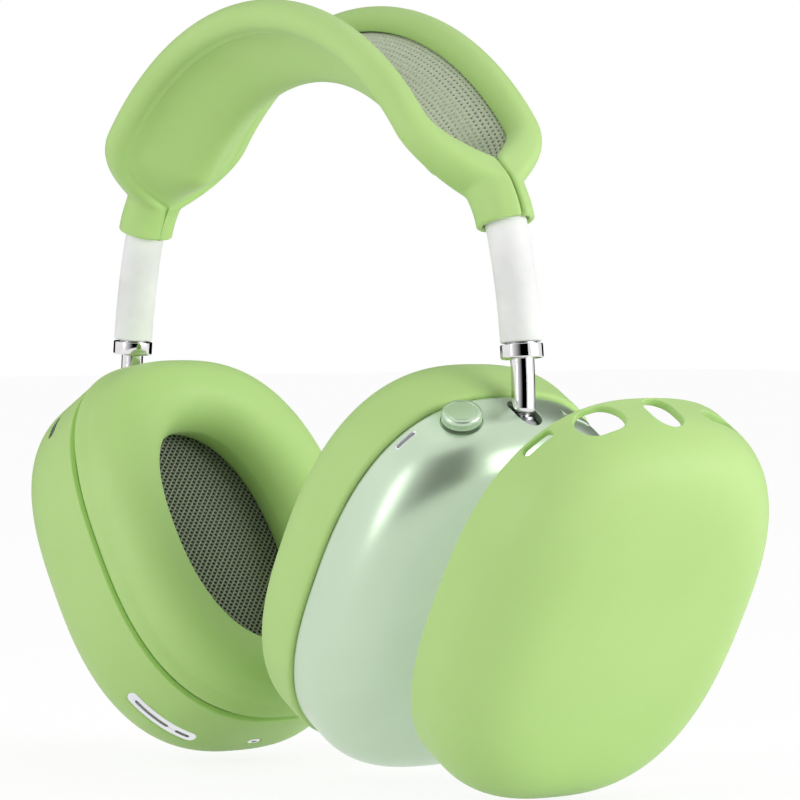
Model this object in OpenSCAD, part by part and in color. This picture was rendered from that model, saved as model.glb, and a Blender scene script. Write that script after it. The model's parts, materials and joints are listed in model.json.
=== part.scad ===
// Over-ear headphones in a soft silicone cover set, with the right cup's cover pulled off.
// Frame: +X is the wearer's right, +Y the wearer's front and +Z up. The origin lies under
// the middle of the headband, where it rests on the head. All lengths are in millimetres.

/* [Headband arch] */
// Radius of the rods' centre line over the crown
crown_r = 81.5; // [78:0.5:85]
// Radius of the rods' centre line round the shoulders
shoulder_r = 73.5; // [70:0.5:77]
// Radius of the curved arms that the stems slide in
arm_r = 165; // [150:1:185]
// Heading where the crown arc ends, in degrees from the vertical
crown_angle = 45; // [42:1:50]
// Heading where the shoulder arc ends and the arm begins
shoulder_angle = 14.5; // [14:0.5:16]
// Distance from the middle plane to each rod at the crown
band_half_w = 18.2; // [17:0.2:22]
// Distance from the middle plane to each rod beside the shoulders
band_side_w = 15.2; // [14:0.2:17]
// How far the canopy hangs below the rods at the crown
band_sag = 7.5; // [6:0.5:9]
// Radius of a headband rod with its jacket
rod_r = 4.3; // [3.8:0.1:4.6]
// Radius of a rod where it enters its yoke
rod_end_r = 2.2; // [1.8:0.1:2.3]
// Thickness of the knitted canopy
canopy_t = 1.2; // [0.8:0.1:1.6]

/* [Arms] */
// Length of bare stem between the collar and the stem's tip
stem_show = 12; // [11.5:0.5:14]
// Radius of the stem
stem_r = 3; // [2.6:0.1:3.2]
// Outside radius of the steel arm tube
arm_tube_r = 4; // [3.8:0.1:4.3]
// Outside radius of the soft sleeve
sleeve_r = 5.3; // [5.1:0.1:5.4]
// Outside radius of the collar
collar_r = 5.4; // [5.3:0.1:6]
// Height of the collar
collar_h = 3.6; // [3:0.2:5]
// How far the stem can be pushed in from the stored position
stem_in = 6.5; // [4:0.5:7]

/* [Cups] */
// Half of the cup's width, front to back
cup_half_w = 41.5; // [40:0.5:44]
// Half of the cup's height
cup_half_h = 52; // [50:0.5:55]
// Depth of the cup from its seam to the middle of its outer face
cup_depth = 24; // [23:0.5:26]
// Radius of the rounded outer edge
edge_r = 14.5; // [12:0.5:15]
// Rise of the outer face inside its rounded edge
face_rise = 1.3; // [0.8:0.1:2]
// Exponent of the cup's rounded outline
outline_exp = 2.6; // [2.4:0.1:3]
// Wall of the aluminium housing
cup_wall = 2; // [1.6:0.1:2.4]
// Lean of the cup, top outward, in degrees
cup_lean = 30; // [26:1:32]
// Turn of the cup about its stem, in degrees
cup_turn = -3; // [-5:1:5]
// Depth of the tilt pin below the top of the cup
pivot_down = 5; // [4.8:0.1:5.4]
// Distance of the tilt pin from the cup's seam
pivot_in = 9.2; // [8.8:0.1:9.6]

/* [Hinge] */
// Radius of the ball of the knuckle
knuckle_r = 4.2; // [4:0.1:4.4]
// Radius of the tilt pin
tilt_pin_r = 1.2; // [1:0.1:1.3]
// Radius of the spindle under the stem
spindle_r = 1.5; // [1.3:0.1:1.6]
// Half of the width of the slot that the stem passes through
slot_half_w = 3.6; // [3.4:0.1:4]

/* [Crown and button] */
// Radius of the crown
crown_knob_r = 5; // [4.6:0.1:5.2]
// Height that the crown stands proud of the cup
crown_proud = 3; // [2.4:0.1:3.6]
// Radius of the crown's shaft
crown_shaft_r = 1.5; // [1.2:0.1:1.7]
// How far the crown can be pressed
crown_travel = 0.8; // [0.4:0.1:1]
// Length of the listening mode button
button_l = 10; // [8:0.5:11]
// Width of the listening mode button
button_w = 3.6; // [3:0.1:4]
// How far the button can be pressed
button_travel = 0.6; // [0.3:0.1:0.8]

/* [Ear cushions] */
// Thickness of the dressed cushion
pad_depth = 21.5; // [18:0.5:24]
// Half of the width of the ear opening
ear_half_w = 21.5; // [19:0.5:22]
// Half of the height of the ear opening
ear_half_h = 33; // [30:0.5:34]
// Overhang of the cushion past the cup's outline
pad_proud = 1.2; // [0.8:0.1:1.4]

/* [Silicone covers] */
// Wall of the headband's and the cushions' covers
skin_t = 1.5; // [1.2:0.1:1.6]
// Wall of the cups' covers
cover_t = 2; // [1.6:0.1:2.2]
// Distance that the right cover is pulled off to the side
cover_off = 49; // [45:1:60]
// How much lower the right cover lies when it is off
cover_drop = 1.4; // [0:0.2:3]

/* [Drivers and boards] */
// Radius of the driver's opening
driver_r = 20; // [18:0.5:20.5]
// Depth of the driver's basket behind the baffle
basket_t = 7; // [6:0.5:8]
// Radius of the driver's magnet
magnet_r = 10; // [8:0.5:12]
// Height of the driver's magnet
magnet_t = 3.5; // [3:0.5:4]

/* [Hidden] */

// Clearances
run_gap = 0.06;         // running fit of a shaft in its bore
seat_gap = 0.02;        // pressed or bonded seat
soft_gap = 0.3;         // between a soft skin and what it covers
free_gap = 0.3;         // between pieces that pass each other

// Resolution
outline_n = 36;         // points round a cup
round_fn = 48;
small_fn = 32;

// ---------------------------------------------------------------- headband path
rim_r = rod_r + soft_gap + skin_t + 0.3;
rod_top_z = rim_r + band_sag;
shoulder_x = (crown_r - shoulder_r) * cos(crown_angle);
shoulder_z = rod_top_z - crown_r + (crown_r - shoulder_r) * sin(crown_angle);
arm_x = shoulder_x + (shoulder_r - arm_r) * cos(shoulder_angle);
arm_z = shoulder_z + (shoulder_r - arm_r) * sin(shoulder_angle);
stem_x = arm_x + arm_r;
tip_z = arm_z;

// Point of the rods' centre line on the right side at heading a, as [x, z]
function right_path(a) =
    a >= crown_angle ? [crown_r * cos(a), rod_top_z - crown_r + crown_r * sin(a)]
    : a >= shoulder_angle ? [shoulder_x + shoulder_r * cos(a), shoulder_z + shoulder_r * sin(a)]
    : [arm_x + arm_r * cos(a), arm_z + arm_r * sin(a)];
// The same for the whole arch, with headings past 90 degrees on the left side
function path(a) = a <= 90 ? right_path(a) : let (p = right_path(180 - a)) [-p[0], p[1]];
// Point at heading a, y from the middle plane and o outward from the centre line
function band_point(a, y, o) =
    let (p = path(a)) [p[0] + o * cos(a), y, p[1] + o * sin(a)];
// Share of the full width that the band has reached at heading a
flare_start = 26;
flare_end = 40.5;
function side_angle(a) = a <= 90 ? a : 180 - a;
function flare(a) =
    let (u = max(0, min(1, (side_angle(a) - flare_start) / (flare_end - flare_start))))
    1 - pow(1 - u, 1.9);
// Distance of the rods from the middle plane past the flare
function reach(a) =
    let (u = max(0, side_angle(a) - flare_end) / (90 - flare_end))
    band_side_w + (band_half_w - band_side_w) * pow(sin(90 * u), 1.5);
function arm_arc(d) = d / arm_r * 180 / PI;

// ---------------------------------------------------------------- general shapes
function sgn_pow(c, e) = sign(c) * pow(abs(c), e);
function outline(a, b, e) =
    [for (i = [0 : outline_n - 1]) let (q = 360 * i / outline_n)
        [a * sgn_pow(cos(q), 2 / e), b * sgn_pow(sin(q), 2 / e)]];
// A ring of points in a cup's own frame: x outward, y to the front, z up
function cup_ring(t, a, b) = [for (p = outline(a, b, outline_exp)) [t, p[0], p[1]]];
function flat(rings) = [for (r = rings) for (p = r) p];
// Two triangles for each square of a grid of rings, joined round each ring
function ring_faces(rows, n) =
    [for (k = [0 : rows - 2]) for (i = [0 : n - 1])
        let (a = k * n + i, b = k * n + (i + 1) % n, c = a + n, d = b + n)
        for (f = [[a, c, d], [a, d, b]]) f];
// A solid through rings of n points each, closed by its first and last ring
module loft(rings) {
    n = len(rings[0]);
    last = (len(rings) - 1) * n;
    polyhedron(
        points = flat(rings),
        faces = concat(ring_faces(len(rings), n),
            [[for (i = [0 : n - 1]) i]],
            [[for (i = [n - 1 : -1 : 0]) last + i]]),
        convexity = 6);
}
// A solid through rings whose last ring joins the first again
module loop(rings) {
    n = len(rings[0]);
    m = len(rings);
    polyhedron(
        points = flat(rings),
        faces = [for (k = [0 : m - 1]) for (i = [0 : n - 1])
            let (a = k * n + i, b = k * n + (i + 1) % n,
                c = ((k + 1) % m) * n + i, d = ((k + 1) % m) * n + (i + 1) % n)
            for (f = [[a, c, d], [a, d, b]]) f],
        convexity = 6);
}
// A prism of the cup's outline between depths t0 and t1
module plate(a, b, t0, t1) {
    translate([t0, 0, 0]) rotate([90, 0, 90])
        linear_extrude(t1 - t0) polygon(outline(a, b, outline_exp));
}
module plate_ring(a, b, width, t0, t1) {
    translate([t0, 0, 0]) rotate([90, 0, 90]) linear_extrude(t1 - t0) difference() {
        polygon(outline(a, b, outline_exp));
        polygon(outline(a - width, b - width, outline_exp));
    }
}
// A prism with round ends, long in y and standing in z, centred on the origin
module pill(length, width, z0, z1) {
    for (s = [-1, 1]) translate([0, s * (length - width) / 2, z0])
        cylinder(r = width / 2, h = z1 - z0, $fn = small_fn);
    translate([-width / 2, -(length - width) / 2, z0])
        cube([width, length - width, z1 - z0]);
}
// A part of the tube that follows the arm, from heading a0 to a1
module arm_arc_solid(a0, a1, outer, inner) {
    translate([arm_x, 0, arm_z]) rotate([90, 0, 0]) rotate([0, 0, a0])
        rotate_extrude(angle = a1 - a0, $fn = round_fn) translate([arm_r, 0]) difference() {
            circle(r = outer, $fn = round_fn);
            if (inner > 0) circle(r = inner, $fn = round_fn);
        }
}
// A part of the tube that follows the shoulder
module shoulder_arc_solid(a0, a1, outer, inner, half_w) {
    translate([shoulder_x, 0, shoulder_z]) rotate([90, 0, 0]) rotate([0, 0, a0])
        rotate_extrude(angle = a1 - a0, $fn = round_fn) translate([shoulder_r, 0]) difference() {
            union() {
                for (s = [-1, 1]) translate([0, s * half_w]) circle(r = outer, $fn = round_fn);
                if (half_w > 0) square([2 * outer, 2 * half_w], center = true);
            }
            if (inner > 0) circle(r = inner, $fn = round_fn);
        }
}

// ---------------------------------------------------------------- placing
module on_side(side) {
    if (side > 0) children();
    else mirror([1, 0, 0]) children();
}
neck_drop = 6.5;
pivot_z = tip_z - neck_drop;
module at_pivot(side) {
    on_side(side) translate([stem_x, 0, pivot_z]) children();
}
// The cup's own frame: x outward from the middle of the seam, y to the front, z up
module in_cup(side) {
    at_pivot(side) rotate([0, cup_lean, cup_turn])
        translate([-pivot_in, 0, -(cup_half_h - pivot_down)]) children();
}
// Place on the cup's rim, turned by a from the top towards the front: z points outward,
// x away from the seam and y along the rim
function rim_point(a) =
    [cup_half_w * sgn_pow(sin(a), 2 / outline_exp), cup_half_h * sgn_pow(cos(a), 2 / outline_exp)];
function rim_tilt(a) =
    let (p = rim_point(a), e = outline_exp - 1)
    atan2(sgn_pow(p[0] / cup_half_w, e) / cup_half_w, sgn_pow(p[1] / cup_half_h, e) / cup_half_h);
module on_rim(a, t) {
    p = rim_point(a);
    translate([t, p[0], p[1]]) rotate([-rim_tilt(a), 0, 0]) children();
}

// ---------------------------------------------------------------- headband
band_steps = 40;
neck_r = sleeve_r + 0.2 + skin_t;
neck_half_w = 0.6;
slit_w = 0.7;
cover_start = shoulder_angle + 3.5;
// Heading where the slit of the neck ends and the opening over the canopy begins
slit_end = cover_start + 13.5;
opening_l = 16;
// Headings spread from cover_start to its mirror image, close together over the flare
function spread(start, u) = 90 - (90 - start) * u * (1.5 - 0.5 * abs(u));
function cover_heading(i) = spread(cover_start, 1 - 2 * i / band_steps);
function rim_half_w(a) = neck_half_w + (reach(a) - neck_half_w) * flare(a);
function rim_radius(a) = neck_r + (rim_r - neck_r) * flare(a);
function sag_at(a) = band_sag * pow(flare(a), 2);
// How far the lips have parted at heading a, from 0 to 1
function parted(a) =
    let (u = max(0, min(1, (side_angle(a) - slit_end) / opening_l))) 1 - pow(1 - u, 2.4);
lip_points = 3;
rim_points = 5;
panel_points = 5;
// Half of the cover's section from the lip over the rim and along the underside, as [y, o]
function half_section(a, inset) =
    let (w = rim_half_w(a), r = rim_radius(a),
        lip_y = slit_w / 2 + (w - r - slit_w / 2) * parted(a),
        dip = r * max(parted(a), 0.35 * min(1, flare(a))),
        lean = 2 * dip / (dip + w - lip_y))
    concat(
        [for (k = [0 : lip_points - 1]) let (q = 90 * (1 - k / lip_points), n = q * min(1, lean))
            [w - (w - lip_y) * sin(q) + inset * sin(n), r - dip + dip * cos(q) - inset * cos(n)]],
        [for (k = [0 : rim_points]) let (q = 90 - 180 * k / rim_points)
            [w + (r - inset) * cos(q), (r - inset) * sin(q)]],
        [for (k = [1 : panel_points]) let (y = w * (1 - k / panel_points))
            [y, -(r - inset) - sag_at(a) * (1 + cos(180 * y / w)) / 2]]);
function mirrored(s) = [for (k = [len(s) - 2 : -1 : 0]) [-s[k][0], s[k][1]]];
function whole_section(a, inset) =
    let (s = half_section(a, inset)) concat(s, mirrored(s));
function reversed(s) = [for (k = [len(s) - 1 : -1 : 0]) s[k]];
module headband_cover() {
    m = 2 * (lip_points + rim_points + 1 + panel_points) - 1;
    n = 2 * m;
    rings = [for (i = [0 : band_steps]) let (a = cover_heading(i))
        [for (p = concat(whole_section(a, 0), reversed(whole_section(a, skin_t))))
            band_point(a, p[0], p[1])]];
    last = band_steps * n;
    first_cap = [for (i = [0 : m - 2]) for (f = [
        [i, i + 1, n - 2 - i], [i, n - 2 - i, n - 1 - i]]) f];
    last_cap = [for (f = first_cap) [last + f[2], last + f[1], last + f[0]]];
    color("YellowGreen") polyhedron(points = flat(rings),
        faces = concat(ring_faces(band_steps + 1, n), first_cap, last_cap), convexity = 10);
}
yoke_top = flare_start + 0.5;
rod_sides = 10;
rod_steps = 36;
function rod_y(a) = rod_end_r + 0.2 + (reach(a) - rod_end_r - 0.2) * flare(a);
function rod_radius(a) = rod_end_r + (rod_r - rod_end_r) * flare(a);
module rod(s) {
    rings = [for (i = [0 : rod_steps]) let (a = spread(yoke_top, 2 * i / rod_steps - 1))
        [for (k = [0 : rod_sides - 1]) let (q = 360 * (k + 0.5) / rod_sides)
            band_point(a, s * rod_y(a) + rod_radius(a) * cos(q), rod_radius(a) * sin(q))]];
    color("WhiteSmoke") loft(rings);
}
module front_rod() { rod(1); }
module rear_rod() { rod(-1); }
canopy_steps = 32;
canopy_points = 8;
canopy_start = flare_start + 5.5;
// Edge of the canopy trapped between the rod and the cover's panel
hem_w = 2.4;
hem_t = canopy_t / 2;
module canopy() {
    rings = [for (i = [0 : canopy_steps])
        let (a = canopy_start + (180 - 2 * canopy_start) * (1 - i / canopy_steps),
            w = rim_half_w(a), r = rim_radius(a) - skin_t - soft_gap / 2, h = w - hem_w,
            low = [for (k = [0 : canopy_points]) let (y = h * (1 - 2 * k / canopy_points))
                [y, -r + soft_gap / 2 - sag_at(a) * (1 + cos(180 * y / w)) / 2]],
            high = [for (k = [canopy_points : -1 : 0]) let (y = low[k][0])
                [y, low[k][1] + hem_t + (canopy_t - hem_t) * (1 - pow(abs(y) / h, 2))]])
        [for (p = concat(low, high)) band_point(a, p[0], p[1])]];
    n = 2 * (canopy_points + 1);
    last = canopy_steps * n;
    first_cap = [for (i = [0 : canopy_points - 1]) for (f = [
        [i, i + 1, n - 2 - i], [i, n - 2 - i, n - 1 - i]]) f];
    last_cap = [for (f = first_cap) [last + f[2], last + f[1], last + f[0]]];
    color("DarkSeaGreen") polyhedron(points = flat(rings),
        faces = concat(ring_faces(canopy_steps + 1, n), first_cap, last_cap), convexity = 6);
}

// ---------------------------------------------------------------- arms
collar_top = arm_arc(stem_show + collar_h);
sleeve_top = cover_start + 3.5;
// Headings where the yoke's wide end begins, clear of the sleeve, and where its round end stops
yoke_wide = sleeve_top + 0.2;
yoke_lap = 1.2;
module yoke(side) {
    color("Silver") on_side(side) {
        shoulder_arc_solid(shoulder_angle, yoke_wide + yoke_lap, arm_tube_r, 0, 0);
        shoulder_arc_solid(yoke_wide, yoke_top, rod_end_r + 0.3, 0, rod_end_r + 0.3);
    }
}
module arm_tube(side) {
    color("Silver") on_side(side)
        arm_arc_solid(collar_top, shoulder_angle, arm_tube_r, stem_r + run_gap);
}
module sleeve(side) {
    color("White") on_side(side) {
        arm_arc_solid(collar_top, shoulder_angle, sleeve_r, arm_tube_r + seat_gap);
        shoulder_arc_solid(shoulder_angle, sleeve_top, sleeve_r, arm_tube_r + seat_gap, 0);
    }
}
module collar(side) {
    // Straight ring whose top face meets the sleeve
    edge = 0.6;
    top = path(collar_top);
    bore = stem_r + free_gap;
    color("Gainsboro") on_side(side) translate([top[0], 0, top[1]]) rotate([0, -collar_top, 0])
        rotate_extrude($fn = round_fn) polygon([
            [bore, -collar_h], [collar_r - edge, -collar_h], [collar_r, -collar_h + edge],
            [collar_r, -edge / 3], [collar_r - edge / 3, 0], [bore, 0]]);
}
bore_top = shoulder_angle - arm_arc(1);
stem_top = bore_top - arm_arc(stem_in);
tip_round = 2;
spindle_l = 4.4;
module stem(side) {
    shoulder = -tip_round - 0.2;
    color("Gainsboro") on_side(side) {
        arm_arc_solid(0, stem_top, stem_r, 0);
        translate([stem_x, 0, tip_z]) rotate_extrude($fn = round_fn) polygon(concat(
            [[0, 0], [stem_r, 0]],
            [for (q = [0 : 15 : 75]) [stem_r - tip_round + tip_round * cos(q), -0.2 - tip_round * sin(q)]],
            [[stem_r - tip_round + 0.9, shoulder], [spindle_r, shoulder],
                [spindle_r, -spindle_l], [0, -spindle_l]]));
    }
}

// ---------------------------------------------------------------- hinge at the top of a cup
module knuckle(side) {
    // Ball with a neck: the spindle turns in it and the tilt pin passes through it
    neck_top = neck_drop - tip_round - 0.2 - free_gap;
    color("Silver") at_pivot(side) difference() {
        union() {
            sphere(r = knuckle_r, $fn = round_fn);
            cylinder(r = spindle_r + 1.1, h = neck_top, $fn = round_fn);
        }
        translate([0, 0, neck_drop - spindle_l - 0.1])
            cylinder(r = spindle_r + run_gap, h = spindle_l, $fn = round_fn);
        rotate([0, 0, cup_turn]) rotate([90, 0, 0])
            cylinder(r = tilt_pin_r + run_gap, h = 4 * knuckle_r, center = true, $fn = round_fn);
    }
}
ear_gap = 0.4;
ear_t = 2.6;
ear_in = knuckle_r + ear_gap;
ear_out = ear_in + ear_t;
module in_hinge(side) {
    in_cup(side) translate([pivot_in, 0, cup_half_h - pivot_down]) children();
}
module tilt_pin(side) {
    color("Gray") in_hinge(side) rotate([90, 0, 0])
        cylinder(r = tilt_pin_r, h = 2 * ear_out, center = true, $fn = small_fn);
}
baffle_back = 3;
bracket_drop = 5.6;
bracket_base_t = 2;
module hinge_bracket(side) {
    ear_r = tilt_pin_r + 1;
    back = baffle_back - pivot_in;
    color("DimGray") in_hinge(side) {
        difference() {
            for (s = [-1, 1]) {
                translate([0, s * (ear_in + ear_out) / 2, 0]) rotate([90, 0, 0])
                    cylinder(r = ear_r, h = ear_t, center = true, $fn = small_fn);
                translate([-ear_r, s > 0 ? ear_in : -ear_out, -bracket_drop])
                    cube([2 * ear_r, ear_t, bracket_drop]);
            }
            rotate([90, 0, 0])
                cylinder(r = tilt_pin_r + seat_gap, h = 4 * ear_out, center = true, $fn = small_fn);
        }
        translate([back, -ear_out, -bracket_drop - bracket_base_t])
            cube([ear_r - back, 2 * ear_out, bracket_base_t]);
    }
}

// ---------------------------------------------------------------- cup shells
edge_t = cup_depth - face_rise - edge_r * sin(80);
// Rings of a skin that lies off outside the housing, from depth t0 at the seam to the tip
function skin(off, t0) = concat(
    [for (t = [t0, edge_t]) cup_ring(t, cup_half_w + off, cup_half_h + off)],
    [for (q = [16 : 16 : 80]) let (d = (edge_r + off) * cos(q) - edge_r)
        cup_ring(edge_t + (edge_r + off) * sin(q), cup_half_w + d, cup_half_h + d)],
    [for (s = [0.72, 0.42, 0.16]) let (d = (edge_r + off) * cos(80) - edge_r)
        cup_ring(cup_depth + off - face_rise * s * s, (cup_half_w + d) * s, (cup_half_h + d) * s)]);
ledge_w = 2.6;
rebate_w = 1.5;
// Inside of the housing: a rebate and a ledge for the baffle, then the cavity
function cavity() = concat(
    [for (e = [[0, rebate_w], [baffle_back, rebate_w], [baffle_back, rebate_w + ledge_w],
            [baffle_back + 1.2, rebate_w + ledge_w], [baffle_back + 1.2 + ledge_w, cup_wall]])
        cup_ring(e[0], cup_half_w - e[1], cup_half_h - e[1])],
    [for (k = [2, 4, 6, 7, 9]) skin(-cup_wall, 0)[k]]);
screw_angles = [-52, 52, 128, 232];
screw_inset = rebate_w + ledge_w / 2;
module at_screws() {
    for (a = screw_angles) on_rim(a, 0) translate([0, 0, -screw_inset]) rotate([0, 90, 0]) children();
}
screw_r = 0.7;
screw_head_r = 1;
screw_head_t = 0.9;
screw_l = 4.6;
baffle_front = 0.2;
// Where the slot for the stem begins and ends, measured from the seam
slot_near = 1.6;
slot_far = pivot_in + knuckle_r;
module stem_slot(near, far, half_w, drop) {
    // Along x, with round ends
    translate([(near + far) / 2, 0, cup_half_h]) rotate([0, 0, 90])
        pill(far - near, 2 * half_w, -drop, 8);
}
crown_rim = -20.8;
crown_t = 6.5;
button_rim = 19;
button_t = 7;
mic_rim = -41.8;
mic_t = 2.4;
mic_l = 6.4;
mic_w = 1.5;
port_rim = 180;
port_t = 6.5;
port_l = 10.4;
port_w = 4.6;
bush_r = 2.6;
crown_recess = crown_travel + 0.2;
module cup_housing(side) {
    color("Honeydew") in_cup(side) difference() {
        loft(concat(reversed(cavity()), skin(0, 0)));
        stem_slot(slot_near, slot_far, slot_half_w, cup_wall + 6);
        at_screws() translate([0, 0, baffle_front])
            cylinder(r = screw_r + seat_gap, h = screw_l + 0.2, $fn = small_fn);
        if (side > 0) {
            on_rim(crown_rim, crown_t) {
                translate([0, 0, -6]) cylinder(r = bush_r + seat_gap, h = 10, $fn = small_fn);
                translate([0, 0, -crown_recess]) cylinder(r = crown_knob_r + 0.4, h = 6, $fn = round_fn);
            }
            on_rim(button_rim, button_t) pill(button_l + 0.5, button_w + 0.5, -6, 4);
            on_rim(mic_rim, mic_t) pill(mic_l + 2 * seat_gap, mic_w + 2 * seat_gap, -1.2, 4);
            on_rim(port_rim, port_t) pill(port_l + 2 * seat_gap, port_w + 2 * seat_gap, -6, 4);
        }
        else {
            on_rim(vent_rim, vent_t) pill(vent_l - 3, 1.6, -6, 4);
            on_rim(small_rim, small_t) pill(2.2, 1.2, -6, 4);
            on_rim(upper_rim, upper_t) pill(5, 1.4, -6, 4);
        }
    }
}
post_angles = [[-25, -24], [25, -24], [25, 22], [-25, 22]];
post_r = 1.6;
board_t0 = baffle_back + basket_t + magnet_t + 0.5;
module baffle(side) {
    color("DarkSlateGray") in_cup(side) difference() {
        union() {
            plate(cup_half_w - rebate_w - 0.15, cup_half_h - rebate_w - 0.15, baffle_front, baffle_back);
            for (p = post_angles) translate([baffle_back, p[0], p[1]]) rotate([0, 90, 0])
                cylinder(r = post_r, h = board_t0 - baffle_back, $fn = small_fn);
        }
        translate([-1, 0, 0]) rotate([0, 90, 0]) cylinder(r = driver_r - 1, h = 8, $fn = round_fn);
        at_screws() {
            cylinder(r = screw_r + seat_gap, h = 8, $fn = small_fn);
            cylinder(r = screw_head_r + 0.1, h = baffle_front + screw_head_t, $fn = small_fn);
        }
    }
}
module baffle_screws(side) {
    color("Gray") in_cup(side) at_screws() difference() {
        union() {
            translate([0, 0, baffle_front]) cylinder(r = screw_head_r, h = screw_head_t, $fn = small_fn);
            translate([0, 0, baffle_front]) cylinder(r = screw_r, h = screw_l, $fn = small_fn);
        }
        translate([0, 0, baffle_front - 1]) cylinder(r = 0.4, h = 1.5, $fn = 6);
    }
}

// ---------------------------------------------------------------- drivers and boards
module driver_axis() {
    rotate([0, 90, 0]) children();
}
module driver_basket(side) {
    wall = 0.8;
    color("DarkGray") in_cup(side) driver_axis() translate([0, 0, baffle_back]) difference() {
        rotate_extrude($fn = round_fn) polygon([
            [magnet_r - 2, basket_t - wall], [driver_r - 4 - wall, basket_t - wall],
            [driver_r - 3 - wall, 1.2], [driver_r - 1, 1.2], [driver_r - 1, 0], [driver_r + 0.8, 0],
            [driver_r + 0.8, 2], [driver_r - 3, 2], [driver_r - 4, basket_t], [magnet_r - 2, basket_t]]);
        for (q = [0 : 45 : 315]) rotate([0, 0, q]) translate([(magnet_r + driver_r - 4) / 2 + 0.5, 0, 2])
            cylinder(r = 1.4, h = basket_t, $fn = small_fn);
    }
}
module driver_magnet(side) {
    color("SlateGray") in_cup(side) driver_axis() translate([0, 0, baffle_back + basket_t])
        rotate_extrude($fn = round_fn) polygon([
            [2, 0], [magnet_r, 0], [magnet_r, magnet_t - 0.5], [magnet_r - 0.5, magnet_t], [2, magnet_t]]);
}
module diaphragm(side) {
    // Dome with a rolled surround, seated on the basket's inner step
    t = 0.3;
    low = baffle_back + 1.2 - t;
    function profile(o) = concat(
        [for (r = [0 : 2 : 10]) [r, o - 2.2 * (1 - r * r / 100)]],
        [for (q = [0 : 30 : 180]) [13 - 3 * cos(q), o - 1.4 * sin(q)]],
        [[driver_r - 1.8, o]]);
    color("LightGray") in_cup(side) driver_axis() rotate_extrude($fn = round_fn)
        polygon(concat(profile(low), reversed(profile(low + t))));
}
board_half_w = 28;
board_half_h = 28;
board_t = 1.2;
chip_t = 1;
// Chips on each board, as [front to back place, height, width, length]
right_chips = [[-22, 14, 12, 9], [8, 16, 12, 8]];
left_chips = [[-16, -8, 16, 14], [6, 8, 12, 10], [-14, 12, 9, 7]];
module circuit_board(side) {
    color("SeaGreen") in_cup(side) translate([board_t0, 0, 0]) {
        rotate([90, 0, 90]) linear_extrude(board_t)
            polygon(outline(board_half_w, board_half_h, 5));
        for (c = side > 0 ? right_chips : left_chips)
            translate([board_t, c[0], c[1]]) cube([chip_t, c[2], c[3]]);
    }
}
battery_t = 3.4;
battery_w = 34;
battery_h = 30;
battery_drop = 6;
module battery() {
    color("SteelBlue") in_cup(1)
        translate([board_t0 + board_t, -battery_w / 2, -battery_h / 2 - battery_drop])
        cube([battery_t, battery_w, battery_h]);
}

// ---------------------------------------------------------------- cushion side
ring_t = 0.3;
ring_w = 3.4;
ring_inset = 0.3;
module seam_ring(side) {
    color("DimGray") in_cup(side)
        plate_ring(cup_half_w - ring_inset, cup_half_h - ring_inset, ring_w,
            ring_front, ring_front + ring_t);
}
spigot_in_w = 27;
spigot_in_h = 38.5;
spigot_w = 2;
ring_front = baffle_front - ring_t - 0.2;
pad_back = ring_front - soft_gap;
plate_back = pad_back - skin_t - soft_gap;
plate_front = plate_back - 1.2;
module speaker_cloth(side) {
    gap = 0.4;
    color("DimGray") in_cup(side)
        plate(spigot_in_w - gap, spigot_in_h - gap, baffle_front - 0.6, baffle_front);
}
module cushion_plate(side) {
    color("DarkGray") in_cup(side) {
        plate_ring(spigot_in_w + spigot_w, spigot_in_h + spigot_w, spigot_w, plate_back, baffle_front);
        plate_ring(spigot_in_w + 8, spigot_in_h + 8, 9.5, plate_front, plate_back);
    }
}
// The cushion's section runs from f = 0 at the ear opening to f = 1 at the outer edge
pad_mid = pad_back - pad_depth * 0.42;
pad_f = skin_t / (cup_half_w - ear_half_w);
// The lips stop clear of the cushion plate's spigot, measured along the middle line
inner_lip_gap = 0.6;
outer_lip_gap = 2.2;
function share_at(half_w) = (half_w - ear_half_w) / (cup_half_w + pad_proud - ear_half_w);
function pad_point(i, f, t) =
    let (q = 360 * i / outline_n, e = 2 / 2.2,
        inner = [ear_half_w * sgn_pow(cos(q), e), ear_half_h * sgn_pow(sin(q), e)],
        outer = [(cup_half_w + pad_proud) * sgn_pow(cos(q), 2 / outline_exp),
            (cup_half_h + pad_proud) * sgn_pow(sin(q), 2 / outline_exp)])
    [t, inner[0] + f * (outer[0] - inner[0]), inner[1] + f * (outer[1] - inner[1])];
// Point of the section at angle q: 90 is towards the head, 270 towards the cup
function pad_section(q, inset) =
    let (front = sin(q) >= 0, e = front ? 2 / 2.1 : 2 / 8,
        deep = front ? pad_depth * 0.58 - inset : pad_depth * 0.42 - inset)
    [0.5 + (0.5 - pad_f * inset / skin_t) * sgn_pow(cos(q), front ? 2 / 2.3 : e),
        pad_mid - deep * sgn_pow(sin(q), e)];
pad_angles = [290, 315, 340, 8, 34, 60, 90, 120, 146, 172, 200, 225, 250];
inner_angles = [300, 330, 8, 36, 64, 90, 116, 144, 172, 210, 240];
function pad_profile(angles, inset) = concat(
    [[share_at(spigot_in_w + spigot_w + outer_lip_gap), pad_back - inset]],
    [for (q = angles) pad_section(q, inset)],
    [[share_at(spigot_in_w - inner_lip_gap), pad_back - inset]]);
module pad_cover(side) {
    // Open at the back, between the lips that hold it on the cushion
    section_out = pad_profile(pad_angles, 0);
    section_in = reversed(pad_profile(inner_angles, skin_t));
    color("YellowGreen") in_cup(side) loop([for (i = [0 : outline_n - 1])
        [for (p = concat(section_out, section_in)) pad_point(i, p[0], p[1])]]);
}
foam_angles = [20, 44, 67, 90, 113, 136, 160];
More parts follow.
